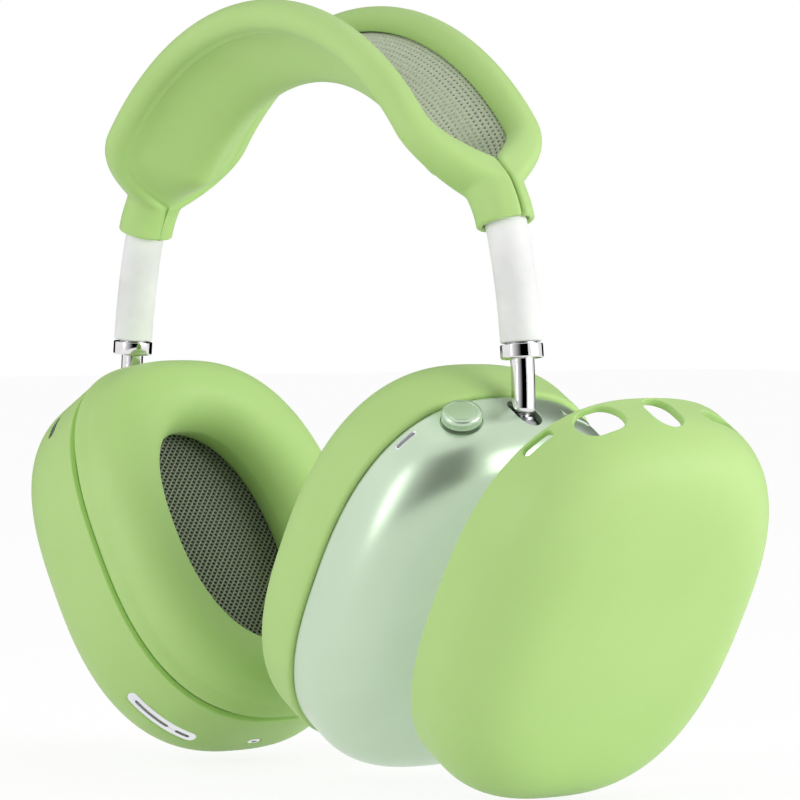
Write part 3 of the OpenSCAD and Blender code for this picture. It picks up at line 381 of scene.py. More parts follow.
class Arch:
    """The headband's path and section. Headings run from 0 at the foot of the right arm over a
    quarter turn at the crown to a half turn at the left foot."""
    # Headings where the rods' tuck begins and is full, and where their lift begins
    tuck_from, tuck_full, lift_from = math.radians(20), math.radians(30), math.radians(30)
    lift_bend = 0.9
    # How softly the flare and the opening start, as squares of a share of their length
    flare_ease, open_ease, open_bend = 0.0016, 0.0004, 2.4
    neck_gap = 0.2 * MM
    crease_round = math.radians(2.2)
    # Widths of the crease towards the rims and towards the middle, and of its close rows
    crease_in, crease_fade, crease_rows_w = 1.9 * MM, 0.6 * MM, 1.4 * MM
    slope_step = math.radians(0.2)
    # Least height of a closed lip, as a share of the rim's radius
    lip_least = 0.35
    lip_roll, lip_roll_l = 0.35 * MM, 1.6 * MM

    def __init__(self):
        s = self.s = sizes("arch")
        self.rim_r = s.rod_r + s.fit + s.skin_t
        out = s.crown_r - s.shoulder_r
        self.shoulder = (out * math.cos(s.crown_angle),
                         s.top - s.crown_r + out * math.sin(s.crown_angle))
        out = s.shoulder_r - s.arm_r
        self.arm = (self.shoulder[0] + out * math.cos(s.shoulder_angle),
                    self.shoulder[1] + out * math.sin(s.shoulder_angle))

    def side(self, a):
        """Headings as if they were all on the right."""
        return np.minimum(a, np.pi - a)

    def path(self, a):
        """Centre line at headings a, as x and z."""
        s, b = self.s, self.side(a)
        x = np.where(b >= s.crown_angle, s.crown_r * np.cos(b), np.where(
            b >= s.shoulder_angle, self.shoulder[0] + s.shoulder_r * np.cos(b),
            self.arm[0] + s.arm_r * np.cos(b)))
        z = np.where(b >= s.crown_angle, s.top - s.crown_r + s.crown_r * np.sin(b), np.where(
            b >= s.shoulder_angle, self.shoulder[1] + s.shoulder_r * np.sin(b),
            self.arm[1] + s.arm_r * np.sin(b)))
        return np.where(a > np.pi / 2, -x, x), z

    def point(self, a, y, o):
        """Points at headings a, y from the middle plane and o outward from the centre line."""
        x, z = self.path(a)
        return np.stack(np.broadcast_arrays(x + o * np.cos(a), y, z + o * np.sin(a)), axis=-1)

    def lifted(self, a):
        """How far the rods lie outside the path: inside it above the necks, outside at the crown."""
        s, b = self.s, self.side(a)
        near = np.clip((b - self.tuck_from) / (self.tuck_full - self.tuck_from), 0, 1)
        far = np.clip((b - self.lift_from) / (np.pi / 2 - self.lift_from), 0, 1)
        lift = (s.lift + s.tuck) * (1 - np.cos(np.pi * far ** self.lift_bend)) / 2
        return lift - s.tuck * near ** 2 * (3 - 2 * near)

    def flare(self, a):
        """Share of the way from the neck's section to the full one."""
        s = self.s
        u = (self.side(a) - s.flare_start) / (s.flare_end - s.flare_start)
        u = np.minimum(1, (u + np.sqrt(u * u + self.flare_ease)) / 2)
        return 1 - (1 - u) ** 2

    def rim_half_w(self, a):
        return self.s.neck_half_w + (self.s.half_w - self.s.neck_half_w) * self.flare(a)

    def rim_radius(self, a):
        neck_r = self.s.sleeve_r + self.neck_gap + self.s.skin_t
        return neck_r + (self.rim_r - neck_r) * self.flare(a)

    def sag_at(self, a):
        return self.s.sag * self.flare(a) ** 2

    def parted(self, a):
        """Share by which the lips are open."""
        u = (self.side(a) - self.s.slit_end) / self.s.opening_l
        u = np.clip((u + np.sqrt(u * u + self.open_ease)) / 2, 0, 1)
        return 1 - (1 - u) ** self.open_bend

    def panel_height(self, a, y):
        """Outward place of the panel's underside."""
        w = self.rim_half_w(a)
        return -self.rim_radius(a) - self.sag_at(a) * (1 + np.cos(np.pi * y / w)) / 2

    def crease_square(self, a):
        """Square of the crease's distance from the middle, below nothing past its round end."""
        s = self.s
        past = (self.side(a) - s.crease_end) / self.crease_round
        reach = np.maximum(self.rim_half_w(a) + s.crease_out * self.flare(a), 1 * MM)
        return reach ** 2 * (1 - np.exp(-past))

    def half_section(self, a, lip_n=34, panel_n=26, crease_n=13):
        """Outside of the cover at heading a from the lip to the middle of the panel, as y and o,
        with the crease's depth and the lip's roll at each point."""
        s = self.s
        w, r, p = self.rim_half_w(a), self.rim_radius(a), self.parted(a)
        lip_y = s.slit_w / 2 + (w - r - s.slit_w / 2) * p
        dip = r * max(p, self.lip_least * min(1.0, self.flare(a)))
        q = np.linspace(np.pi / 2 + s.lip_turn * p, 0, 48)
        arc = np.stack([w - (w - lip_y) * np.sin(q), r - dip + dip * np.cos(q)], axis=1)
        q = np.linspace(np.pi / 2, -np.pi / 2, 80)[1:]
        rim = np.stack([w + r * np.cos(q), r * np.sin(q)], axis=1)
        line = np.vstack([arc, rim])
        run = np.concatenate([[0], np.cumsum(np.linalg.norm(np.diff(line, axis=0), axis=1))])
        at = np.linspace(s.skin_t / 2, run[-1], lip_n)
        upper = np.stack([np.interp(at, run, line[:, k]) for k in range(2)], axis=1)
        crease_y = math.sqrt(max(self.crease_square(a), 0))
        low = max(0, min(crease_y, w) - self.crease_rows_w)
        y = np.concatenate([np.linspace(w, low, crease_n)[1:], np.linspace(low, 0, panel_n)[1:]])
        under = np.stack([y, self.panel_height(a, y)], axis=1)
        half = np.vstack([upper, under])
        step, square = self.slope_step, self.crease_square(a)
        slope = (self.crease_square(a + step) - self.crease_square(a - step)) / (2 * step)
        slope /= s.crown_r if self.side(a) > s.crown_angle else s.shoulder_r
        reach = np.abs(half[:, 0])
        d = (square - reach ** 2) / np.maximum(np.hypot(slope, 2 * reach), 0.5 * MM)
        share = np.where(d > 0, np.exp(-(d / self.crease_fade) ** 2),
                         np.exp(-(d / self.crease_in) ** 2))
        share[half[:, 1] > -0.25 * r] = 0
        lip = np.concatenate([at, np.full(len(y), run[-1])]) - s.skin_t / 2
        roll = self.lip_roll * (1 - p) * np.exp(-(lip / self.lip_roll_l) ** 2)
        return half, share * s.crease_depth, roll

    def section(self, a, inset):
        """Closed section of the cover at heading a, its wall thinned by inset on both sides."""
        s = self.s
        half, crease, roll = self.half_section(a)
        mirrored = half[-2::-1] * (-1, 1)
        outer = np.vstack([half, mirrored])
        lift = np.concatenate([roll - crease, (roll - crease)[-2::-1]])
        tangent = np.gradient(outer, axis=0)
        tangent /= np.maximum(np.linalg.norm(tangent, axis=1, keepdims=True), 1e-9)
        normal = np.stack([-tangent[:, 1], tangent[:, 0]], axis=1)
        depth = s.skin_t - inset
        skin = outer + normal * (lift - inset)[:, None]
        lining = outer - normal * depth
        cap_r = (depth - inset) / 2
        q = np.linspace(0, np.pi, 8)[1:-1, None]

        def cap(end, turn):
            middle = outer[end] - normal[end] * (inset + depth) / 2 + normal[end] * lift[end] / 2
            return middle + cap_r * (np.cos(q) * normal[end] + turn * np.sin(q) * tangent[end])

        return np.vstack([skin, cap(-1, 1), lining[::-1], cap(0, -1)[::-1]])


# ------------------------------------------------------------------ the cups

class Cup:
    """A cup's place and shape. In its own frame x points away from the seam, y to the front, z up."""
    # Run over which the wall's bend grows to the edge's, and the edge's falls to the face's
    ramp_in, ramp_out = 4 * MM, 10 * MM
    wall_rows = 8
    # Width of the rim that keeps the outline before it turns round towards the middle
    even_rim = 8 * MM

    def __init__(self, side, shift=(0, 0, 0)):
        s = self.s = sizes("cups")
        self.side, self.shift = side, np.array(shift, float)
        tilt = JOINTS["right_tilt"]
        turn = -math.asin(tilt["axis"][0])
        self.matrix = np.array(
            Matrix.Translation(tilt["pos_m"]) @ Matrix.Rotation(turn, 4, "Z")
            @ Matrix.Rotation(s.lean, 4, "Y")
            @ Matrix.Translation((-s.pivot_in, 0, s.pivot_down - s.half_h)))

    @property
    def word(self):
        return "right" if self.side > 0 else "left"

    def place(self, points):
        """Points of the cup's frame in the object's frame."""
        p = np.asarray(points, float).reshape(-1, 3) @ self.matrix[:3, :3].T + self.matrix[:3, 3]
        return p * (self.side, 1, 1) + self.shift

    def profile(self, spacing=0.9 * MM):
        """Rows from the seam to the middle of the face as inset, depth and slope. The slope grows
        smoothly from the straight wall through the rounded edge to the face."""
        s, step = self.s, 0.02 * MM
        run = np.arange(0, 90 * MM, step)

        def line(hold):
            held = self.ramp_in + hold
            bend = np.interp(run, [0, self.ramp_in, held, held + self.ramp_out],
                             [0, 1 / s.edge_r, 1 / s.edge_r, 1 / s.face_r])
            slope = np.cumsum(bend) * step
            inset = np.cumsum(np.sin(slope)) * step
            last = int(np.searchsorted(inset, s.half_w))
            return inset[:last], np.cumsum(np.cos(slope))[:last] * step, slope[:last]

        low, high = 0.0, 40 * MM
        for _ in range(40):
            hold = (low + high) / 2
            low, high = (hold, high) if line(hold)[2][-1] < np.pi / 2 else (low, hold)
        inset, depth, slope = line(low)
        depth = depth + s.depth - depth[-1]
        pick = np.unique(np.linspace(0, len(inset) - 1, int(len(inset) * step / spacing)).astype(int))
        wall = np.linspace(0, depth[0], self.wall_rows)[:-1]
        upright = np.zeros(len(wall))
        return [np.concatenate(rows) for rows in (
            (upright, inset[pick]), (wall, depth[pick]), (upright, slope[pick]))]

    def ring(self, inset, depth, slope, off, n=240):
        """One ring of a skin that lies off outside the housing."""
        s = self.s
        share = np.clip((inset - self.even_rim) / (s.half_w - self.even_rim), 0, 1) ** 2
        out = off * math.cos(slope) - inset
        half_w = max(s.half_w + out, 0.01 * MM)
        half_h = max(s.half_h + out - (s.half_h - s.half_w) * share, 0.01 * MM)
        outline = superellipse(half_w, half_h, s.exponent + (2 - s.exponent) * share, n)
        return np.column_stack([np.full(n, depth + off * math.sin(slope)), outline])

    def skin(self, off, start=0.0, n=240):
        """Rings of a skin from the depth start to the middle of the face."""
        rows = list(zip(*self.profile()))
        first = next(k for k, row in enumerate(rows) if row[1] > start + 0.2 * MM)
        rows = [(0.0, start, 0.0)] + rows[first:]
        return [self.ring(*row, off, n) for row in rows]

    def flat_ring(self, depth, inset, n=240):
        s = self.s
        outline = superellipse(s.half_w - inset, s.half_h - inset, s.exponent, n)
        return np.column_stack([np.full(n, depth), outline])

    def rim(self, turn, depth):
        """Frame on the rim, turned from the top towards the front: z points outward, x away from
        the seam and y along the rim."""
        s, e = self.s, self.s.exponent
        y = s.half_w * signed_power(math.sin(turn), 2 / e)
        z = s.half_h * signed_power(math.cos(turn), 2 / e)
        lean = math.atan2(signed_power(y / s.half_w, e - 1) / s.half_w,
                          signed_power(z / s.half_h, e - 1) / s.half_h)
        m = np.eye(4)
        m[:3, 0] = (1, 0, 0)
        m[:3, 1] = (0, math.cos(lean), -math.sin(lean))
        m[:3, 2] = (0, math.sin(lean), math.cos(lean))
        m[:3, 3] = (depth, y, z)
        return m

    def slot_frame(self, near, far):
        """Frame of the stem's slot, with x along the rim and y away from the seam."""
        m = np.eye(4)
        m[:3, 0], m[:3, 1], m[:3, 2] = (0, 1, 0), (1, 0, 0), (0, 0, 1)
        m[:3, 3] = ((near + far) / 2, 0, self.s.half_h)
        return m

    def surface(self, off):
        """A tree of the skin's faces, in the cup's frame, that other pieces are laid on."""
        rings = self.skin(off)
        points, faces = np.vstack(rings), grid_faces(len(rings), len(rings[0]))
        return BVHTree.FromPolygons(points.tolist(), faces.tolist())


def laid(tree, place, outline, above=20 * MM):
    """Where a line down through each point of a local frame meets the surface, with its normal."""
    down = Vector(-place[:3, 2])
    points, normals = [], []
    for x, y in outline:
        start = place[:3, :3] @ np.array([x, y, above]) + place[:3, 3]
        hit, normal, _, _ = tree.ray_cast(Vector(start), down)
        if hit is None:
            raise ValueError("a trim piece doesn't meet the cup")
        points.append(hit)
        normals.append(normal if normal.dot(down) < 0 else -normal)
    return np.array(points), np.array(normals)


def smoothed(rows, times=4):
    for _ in range(times):
        rows = (np.roll(rows, 1, axis=0) + 2 * rows + np.roll(rows, -1, axis=0)) / 4
    return rows


def hole_liner(tree, place, outline, wall, edge):
    """The rounded wall of a hole whose mouth is the outline grown by edge, as points and faces."""
    ahead = np.roll(outline, -1, axis=0) - np.roll(outline, 1, axis=0)
    ahead /= np.linalg.norm(ahead, axis=1, keepdims=True)
    out = np.stack([ahead[:, 1], -ahead[:, 0]], axis=1)
    if (out * outline).sum() < 0:
        out = -out
    points, normals = laid(tree, place, outline + out * edge)
    normals = smoothed(normals)
    inward = -(out @ place[:3, :2].T)
    inward -= normals * (inward * normals).sum(1)[:, None]
    inward /= np.linalg.norm(inward, axis=1, keepdims=True)
    q = np.linspace(0, np.pi / 2, 5)
    over = np.concatenate([edge * np.sin(q), edge * np.sin(q[::-1])])
    deep = np.concatenate([edge * (1 - np.cos(q)), wall - edge * (1 - np.cos(q[::-1]))])
    over = np.concatenate([over, [-0.15 * MM, -0.15 * MM]])
    deep = np.concatenate([deep, [wall - 0.05 * MM, 0.05 * MM]])
    return turned([points + inward * o - normals * d for o, d in zip(over, deep)], close=True)


def openings(tree, holes, edge):
    """Cutters and rounded walls of holes, each as (place, outline, depth of its cut, wall)."""
    cutters = [prism(outline * (1 + edge / np.abs(outline).max(0)), place, -deep, CLEAR)
               for place, outline, deep, _ in holes]
    liners = [hole_liner(tree, place, outline, wall, edge) for place, outline, _, wall in holes]
    return cutters, liners


def laid_block(tree, place, outline, low, high, edge, rings=7):
    """A plate with a rounded top edge that follows the surface, as points and faces."""
    width = outline[:, 0].max()
    rows = [(0.0, low), (0.0, high - edge)]
    rows += [(edge * (1 - math.cos(q)), high - edge + edge * math.sin(q))
             for q in np.linspace(0, np.pi / 2, 5)[1:]]
    rows += [(edge + (0.94 * width - edge) * k / rings, high) for k in range(1, rings + 1)]
    straight = outline[:, 1].max() - width
    core = np.clip(outline[:, 1], -straight, straight)
    result = []
    for inset, height in rows:
        share = 1 - inset / width
        ring = np.stack([outline[:, 0] * share, core + (outline[:, 1] - core) * share], axis=1)
        points, normals = laid(tree, place, ring)
        result.append(points + normals * height)
    n, last = len(outline), (len(result) - 1) * len(outline)
    half = n // 2
    cap = [[last + k, last + k + 1, last + n - 2 - k, last + n - 1 - k] for k in range(half - 1)]
    return np.vstack(result), list(grid_faces(len(result), n)) + [list(range(n))] + cap


# ------------------------------------------------------------------ materials

class Finish:
    """A material with its shader, for adding nodes to."""

    def __init__(self, name, base, rough, metallic=0.0):
        self.material = bpy.data.materials.new(name)
        self.material.use_nodes = True
        self.nodes, self.links = self.material.node_tree.nodes, self.material.node_tree.links
        self.shader = self.nodes["Principled BSDF"]
        self.base, self.rough = base, rough
        self.shader.inputs["Base Color"].default_value = (*base, 1)
        self.shader.inputs["Roughness"].default_value = rough
        self.shader.inputs["Metallic"].default_value = metallic
        self.place = self.nodes.new("ShaderNodeTexCoord").outputs["Object"]

    def set(self, **values):
        for name, value in values.items():
            self.shader.inputs[name.replace("_", " ")].default_value = value
        return self

    def stretched(self, scale):
        node = self.nodes.new("ShaderNodeMapping")
        node.inputs["Scale"].default_value = scale
        self.links.new(self.place, node.inputs["Vector"])
        return node.outputs["Vector"]

    def noise(self, scale, detail=3.0, vector=None):
        node = self.nodes.new("ShaderNodeTexNoise")
        node.inputs["Scale"].default_value = scale
        node.inputs["Detail"].default_value = detail
        self.links.new(vector or self.place, node.inputs["Vector"])
        return node.outputs["Fac"]

    def tint(self, value, low, high, colours):
        """Base colour that turns from one colour to the other as the value goes from low to high."""
        node = self.nodes.new("ShaderNodeValToRGB")
        first, last = node.color_ramp.elements
        first.position, last.position = low, high
        first.color, last.color = (*colours[0], 1), (*colours[1], 1)
        self.links.new(value, node.inputs["Fac"])
        self.links.new(node.outputs["Color"], self.shader.inputs["Base Color"])
        return self

    def uneven_gloss(self, value, spread):
        node = self.nodes.new("ShaderNodeMapRange")
        node.inputs["To Min"].default_value = self.rough - spread
        node.inputs["To Max"].default_value = self.rough + spread
        self.links.new(value, node.inputs["Value"])
        self.links.new(node.outputs["Result"], self.shader.inputs["Roughness"])
        return self

    def bump(self, value, strength, distance):
        node = self.nodes.new("ShaderNodeBump")
        node.inputs["Strength"].default_value = strength
        node.inputs["Distance"].default_value = distance
        self.links.new(value, node.inputs["Height"])
        self.links.new(node.outputs["Normal"], self.shader.inputs["Normal"])
        return self


def shaded(base, share):
    return tuple(c * share for c in base)


def made_once(make):
    """Lets a material's function run only where no material has its name yet."""
    def found(name, *values):
        if name not in bpy.data.materials:
            make(name, *values)
        return bpy.data.materials[name]
    return found


@made_once
def moulded(name, base, deep):
    """Matt moulded silicone: a soft skin with fine grain and slight cloudiness."""
    f = Finish(name, base, 0.52)
    cloud, grain = f.noise(30, 2), f.noise(2600, 2)
    f.tint(cloud, 0.3, 0.7, (deep, base))
    f.uneven_gloss(f.noise(90, 4), 0.05).bump(grain, 0.12, 0.04 * MM)
    f.set(Sheen_Weight=0.12, Sheen_Roughness=0.5, Specular_IOR_Level=0.35,
          Subsurface_Weight=0.08, Subsurface_Scale=3 * MM)


@made_once
def metal(name, base, rough, grain=900, strength=0.1, metallic=1.0, variation=0.9):
    """Metal with a fine blasted grain and slight handling marks."""
    f = Finish(name, base, rough, metallic)
    f.tint(f.noise(60, 5), 0.35, 0.65, (shaded(base, variation), base))
    f.uneven_gloss(f.noise(140, 4), rough * 0.12).bump(f.noise(grain, 2), strength, 0.03 * MM)


@made_once
def plastic(name, base, rough=0.5, grain=1500, strength=0.25):
    """Moulded plastic with a fine spark-eroded grain."""
    f = Finish(name, base, rough)
    f.tint(f.noise(70, 4), 0.35, 0.65, (shaded(base, 0.88), base))
    f.uneven_gloss(f.noise(200, 4), 0.07).bump(f.noise(grain, 3), strength, 0.05 * MM)


@made_once
def woven(name, base, rough=0.85, grain=3200):
    """Yarn: rough, with the grain of its fibres and a soft sheen."""
    f = Finish(name, base, rough)
    fibres = f.noise(grain, 4, f.stretched((1.0, 1.0, 0.25)))
    f.tint(fibres, 0.3, 0.7, (shaded(base, 0.72), base))
    f.uneven_gloss(fibres, 0.08).bump(fibres, 0.5, 0.06 * MM)
    f.set(Sheen_Weight=0.25, Sheen_Roughness=0.6)


@made_once
def board(name, base):
    """Solder mask over copper tracks, with a glossy lacquer."""
    f = Finish(name, base, 0.3)
    cells = f.nodes.new("ShaderNodeTexBrick")
    cells.inputs["Scale"].default_value = 420
    cells.inputs["Mortar Size"].default_value = 0.035
    cells.inputs["Color1"].default_value = (*base, 1)
    cells.inputs["Color2"].default_value = (*shaded(base, 0.7), 1)
    cells.inputs["Mortar"].default_value = (*shaded(base, 2.2), 1)
    f.links.new(f.place, cells.inputs["Vector"])
    f.links.new(cells.outputs["Color"], f.shader.inputs["Base Color"])
    f.bump(cells.outputs["Fac"], 0.3, 0.05 * MM).uneven_gloss(f.noise(300, 3), 0.08)


def silicone():
    c = sizes("colours")
    return moulded("Matt silicone", c.silicone, c.silicone_deep)


def aluminium():
    return metal("Mint anodised aluminium", sizes("colours").aluminium, 0.3, 2400, 0.06, 0.65, 0.97)


def polished_chrome():
    return metal("Polished chrome", sizes("colours").chrome, 0.06, 500, 0.02, 1.0, 0.98)


def bright_trim():
    return metal("Bright trim", sizes("colours").trim, 0.28)


def slot_gauze():
    return plastic("Slot gauze", sizes("colours").gauze, 0.6, 3000, 0.4)


def rod_jacket():
    return plastic("Rod jacket", sizes("colours").jacket, 0.6)


# ------------------------------------------------------------------ pieces

class PieceOperator:
    """Shared by the operators: each makes its piece and says so."""
    bl_options = {"REGISTER", "UNDO"}

    def execute(self, context):
        self.make()
        return {"FINISHED"}

    def piece(self, name, solid, body, slot, material, replaces=(), sharp=math.radians(38)):
        """Makes a piece from points and faces, with its body, its finish and the nodes that it
        stands for."""
        obj = add_object(name, build_mesh(name, *solid, sharp=sharp))
        obj.data.materials.append(material)
        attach(obj, body)
        if replaces:
            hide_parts(*replaces)
        return obj


class HEADPHONES_OT_headband_cover(PieceOperator, Operator):
    """Silicone sleeve over the headband's rods, slit at the necks and open over the canopy"""
    bl_idname = "headphones.headband_cover"
    bl_label = "Headband cover"
    # Turn from each end over which the sections lie closer together
    dense_l = math.radians(22)

    def make(self):
        arch = Arch()
        s = arch.s
        dense = s.cover_start + self.dense_l
        round_r = s.skin_t / 2
        quarter = np.linspace(np.pi / 2, 0, 6)
        ends = s.cover_start + round_r * (1 - np.sin(quarter)) / s.shoulder_r
        inset = round_r * (1 - np.cos(quarter))
        headings = np.concatenate([ends, np.linspace(ends[-1], dense, 80)[1:],
                                   np.linspace(dense, np.pi / 2, 110)[1:]])
        thin = np.concatenate([inset, np.zeros(len(headings) - len(inset))])
        headings = np.concatenate([headings, (np.pi - headings[:-1])[::-1]])
        thin = np.concatenate([thin, thin[:-1][::-1]])
        rings = []
        for a, t in zip(headings, thin):
            ring = arch.section(a, t)
            rings.append(arch.point(np.full(len(ring), a), ring[:, 0],
                                    ring[:, 1] + arch.lifted(a)))
        self.piece("headband_cover_skin", turned(rings), "headband", "silicone", silicone(),
                   ["headband_cover"], math.radians(60))


class HEADPHONES_OT_canopy(PieceOperator, Operator):
    """Knitted canopy between the rods, with rows of small holes over a dark sheet of painted shade"""
    bl_idname = "headphones.canopy"
    bl_label = "Canopy"
    edge_in = 2.4 * MM
    # Heights of the knit round a hole, as shares of its thickness
    seam_high, rim_high, wall_high, foot_high = 0.86, 1.0, 0.88, 0.4

    def surface(self, arch, a, share, height):
        """Point of the canopy at heading a, share of its half width, and height over its back."""
        s = arch.s
        w = arch.rim_half_w(a)
        y = (w - self.edge_in) * share
        r = arch.rim_radius(a) - s.skin_t - s.fit / 2
        o = -r + s.fit / 2 - arch.sag_at(a) * (1 + np.cos(np.pi * y / w)) / 2
        return arch.point(a, y, o + arch.lifted(a) + height)

    def make(self):
        arch = Arch()
        s = arch.s
        first = s.canopy_start
        columns = int((np.pi - 2 * first) * s.crown_r / s.mesh_pitch)
        rows = int(2 * (s.half_w - self.edge_in) / s.mesh_rows)
        hole = 0.5 * s.mesh_hole / np.array([s.mesh_pitch, s.mesh_rows])
        corner = np.array([(-.5, -.5), (0, -.5), (.5, -.5), (.5, 0), (.5, .5), (0, .5), (-.5, .5),
                           (-.5, 0)])
        turn = np.arctan2(corner[:, 1], corner[:, 0])
        inner = np.stack([hole[0] * np.cos(turn) * 1.15, hole[1] * np.sin(turn)], axis=1)
        i, j = np.meshgrid(np.arange(columns), np.arange(rows), indexing="ij")
        middle = np.stack([i + 0.5 + 0.5 * (j % 2), j + 0.5], axis=-1).reshape(-1, 1, 2)

        def placed(uv, height):
            a = first + uv[..., 0] / (columns + 0.5) * (np.pi - 2 * first)
            share = np.clip(uv[..., 1] / rows * 2 - 1, -1, 1)
            return self.surface(arch, a, share, height * (0.55 + 0.45 * (1 - share ** 2)))

        cell = np.concatenate([placed(middle + around, s.canopy_t * high) for around, high in (
            (corner, self.seam_high), (inner * 1.35, self.rim_high), (inner, self.wall_high),
            (inner * 0.8, self.foot_high))], axis=1)
        starts = np.arange(len(cell))[:, None, None] * cell.shape[1]
        knit = cell.reshape(-1, 3), (grid_faces(4, 8) + starts).reshape(-1, 4)
        self.piece("canopy_mesh", knit, "headband", "canopy_knit",
                   woven("Canopy yarn", sizes("colours").canopy), ["canopy"], math.radians(80))
        self.lining(arch, first)

    def lining(self, arch, first):
        """Dark sheet under the knit, painted shade for what shows through its holes, with the knit's
        turned-in edge.
        """
        a, share = np.meshgrid(np.linspace(first, np.pi - first, 160), np.linspace(-1, 1, 33),
                               indexing="ij")
        low = self.surface(arch, a, share, 0.02 * MM)
        high = self.surface(arch, a, share, arch.s.canopy_t * 0.32 * (1 - 0.4 * share ** 2))
        ring = np.concatenate([high, low[:, ::-1]], axis=1)
        rows, n = ring.shape[:2]
        faces = list(grid_faces(rows, n)) + [list(range(n)), list(range((rows - 1) * n, rows * n))]
        # Painted shade: a dark sheet under the knit's holes, where the panel below would lie in shade
        self.piece("canopy_lining", (ring.reshape(-1, 3), faces), "headband", "canopy_knit",
                   woven("Canopy lining", sizes("colours").canopy_hole_shade, 0.9))


class HEADPHONES_OT_rods(PieceOperator, Operator):
    """The two rods of the arch in their soft jackets, from yoke to yoke"""
    bl_idname = "headphones.rods"
    bl_label = "Headband rods"
    start, rise_l = math.radians(26.5), math.radians(8)
    end_in = 2.4 * MM

    def make(self):
        arch = Arch()
        s = arch.s
        a = np.linspace(self.start, np.pi - self.start, 200)
        q = np.linspace(0, 2 * np.pi, 40, endpoint=False)
        flare = arch.flare(a)
        radius = s.rod_end_r + (s.rod_r - s.rod_end_r) * flare
        reach = self.end_in + (s.half_w - self.end_in) * flare
        rise = arch.lifted(a) * np.clip((arch.side(a) - self.start) / self.rise_l, 0, 1)
        rows = [(a[0], 0.0, reach[0], rise[0])] + list(zip(a, radius, reach, rise)) + [
            (a[-1], 0.0, reach[-1], rise[-1])]
        for side, node in ((1, "front_rod"), (-1, "rear_rod")):
            rings = [arch.point(np.full(len(q), h), side * y + r * np.cos(q), o + r * np.sin(q))
                     for h, r, y, o in rows]
            self.piece(node + "_bar", turned(rings), "headband", "rod_jacket", rod_jacket(), [node])


class HEADPHONES_OT_chrome(PieceOperator, Operator):
    """Stems and collars, turned round and polished"""
    bl_idname = "headphones.chrome"
    bl_label = "Stems and collars"
    stem_r, spindle_r, spindle_l = 3 * MM, 1.5 * MM, 4.4 * MM
    tip_round, tip_foot, stem_top = 2 * MM, 0.9 * MM, math.radians(11.9)
    chamfer, top_chamfer = 0.2 * MM, 0.4 * MM
    collar_r, collar_h, collar_edge, bore_edge = 5.4 * MM, 3.6 * MM, 0.5 * MM, 0.3 * MM

    def make(self):
        arch = Arch()
        for side, word in SIDES:
            for name, body, rings in (("stem", word + "_stem", self.stem(arch)),
                                      ("collar", "headband", self.collar(arch))):
                points, faces = turned(rings, close=name == "collar")
                node = word + "_" + name
                self.piece(node + "_metal", (points * (side, 1, 1), faces), body, "chrome",
                           polished_chrome(), [node], math.radians(50))

    def stem(self, arch, n=96):
        """Rings from the spindle's foot over the round tip and up along the arm's arc"""
        q = np.linspace(0, 2 * np.pi, n, endpoint=False)
        tip_r, edge = self.stem_r - self.tip_round, self.chamfer
        foot = -edge - self.tip_round
        rows = [(0.0, -self.spindle_l), (self.spindle_r - edge, -self.spindle_l),
                (self.spindle_r, -self.spindle_l + edge), (self.spindle_r, foot),
                (tip_r + self.tip_foot, foot)]
        rows += [(tip_r + self.tip_round * math.cos(k), -edge - self.tip_round * math.sin(k))
                 for k in np.linspace(1.2, 0, 12)]
        x, z = arch.arm[0] + arch.s.arm_r, arch.arm[1]
        rings = [np.column_stack([x + r * np.cos(q), r * np.sin(q), np.full(n, z + h)])
                 for r, h in rows]
        top, edge = self.stem_top, self.top_chamfer
        end = top + edge / arch.s.arm_r
        bends = [(h, self.stem_r) for h in np.linspace(0, top, 40)]
        bends += [(end, self.stem_r - edge), (end, 0.0)]
        return rings + [arch.point(np.full(n, h), r * np.sin(q), r * np.cos(q)) for h, r in bends]

    def collar(self, arch, n=96):
        """Rings from the bore round the foot and up to the top, square to the arm"""
        q = np.linspace(0, 2 * np.pi, n, endpoint=False)
        r, h, e, top_e = self.collar_r, self.collar_h, self.collar_edge, self.chamfer
        bore = self.stem_r + self.bore_edge
        corner = np.linspace(0, np.pi / 2, 7)
        rows = [(bore, 0.0), (bore, -h + self.bore_edge), (bore + self.bore_edge, -h)]
        rows += [(r - e + e * math.sin(k), -h + e - e * math.cos(k)) for k in corner]
        rows += [(r - top_e + top_e * math.cos(k), -top_e + top_e * math.sin(k)) for k in corner]
        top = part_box("right_collar")[1].z
        heading = math.asin((top - arch.arm[1]) / arch.s.arm_r)
        for _ in range(3):
            x, z = (float(v) for v in arch.path(np.array(heading)))
            heading = math.asin((top - r * math.sin(heading) - arch.arm[1]) / arch.s.arm_r)
        out, up = (math.cos(heading), math.sin(heading)), (-math.sin(heading), math.cos(heading))
        return [np.column_stack([x + k * np.cos(q) * out[0] + d * up[0], k * np.sin(q),
                                 z + k * np.cos(q) * out[1] + d * up[1]]) for k, d in rows]


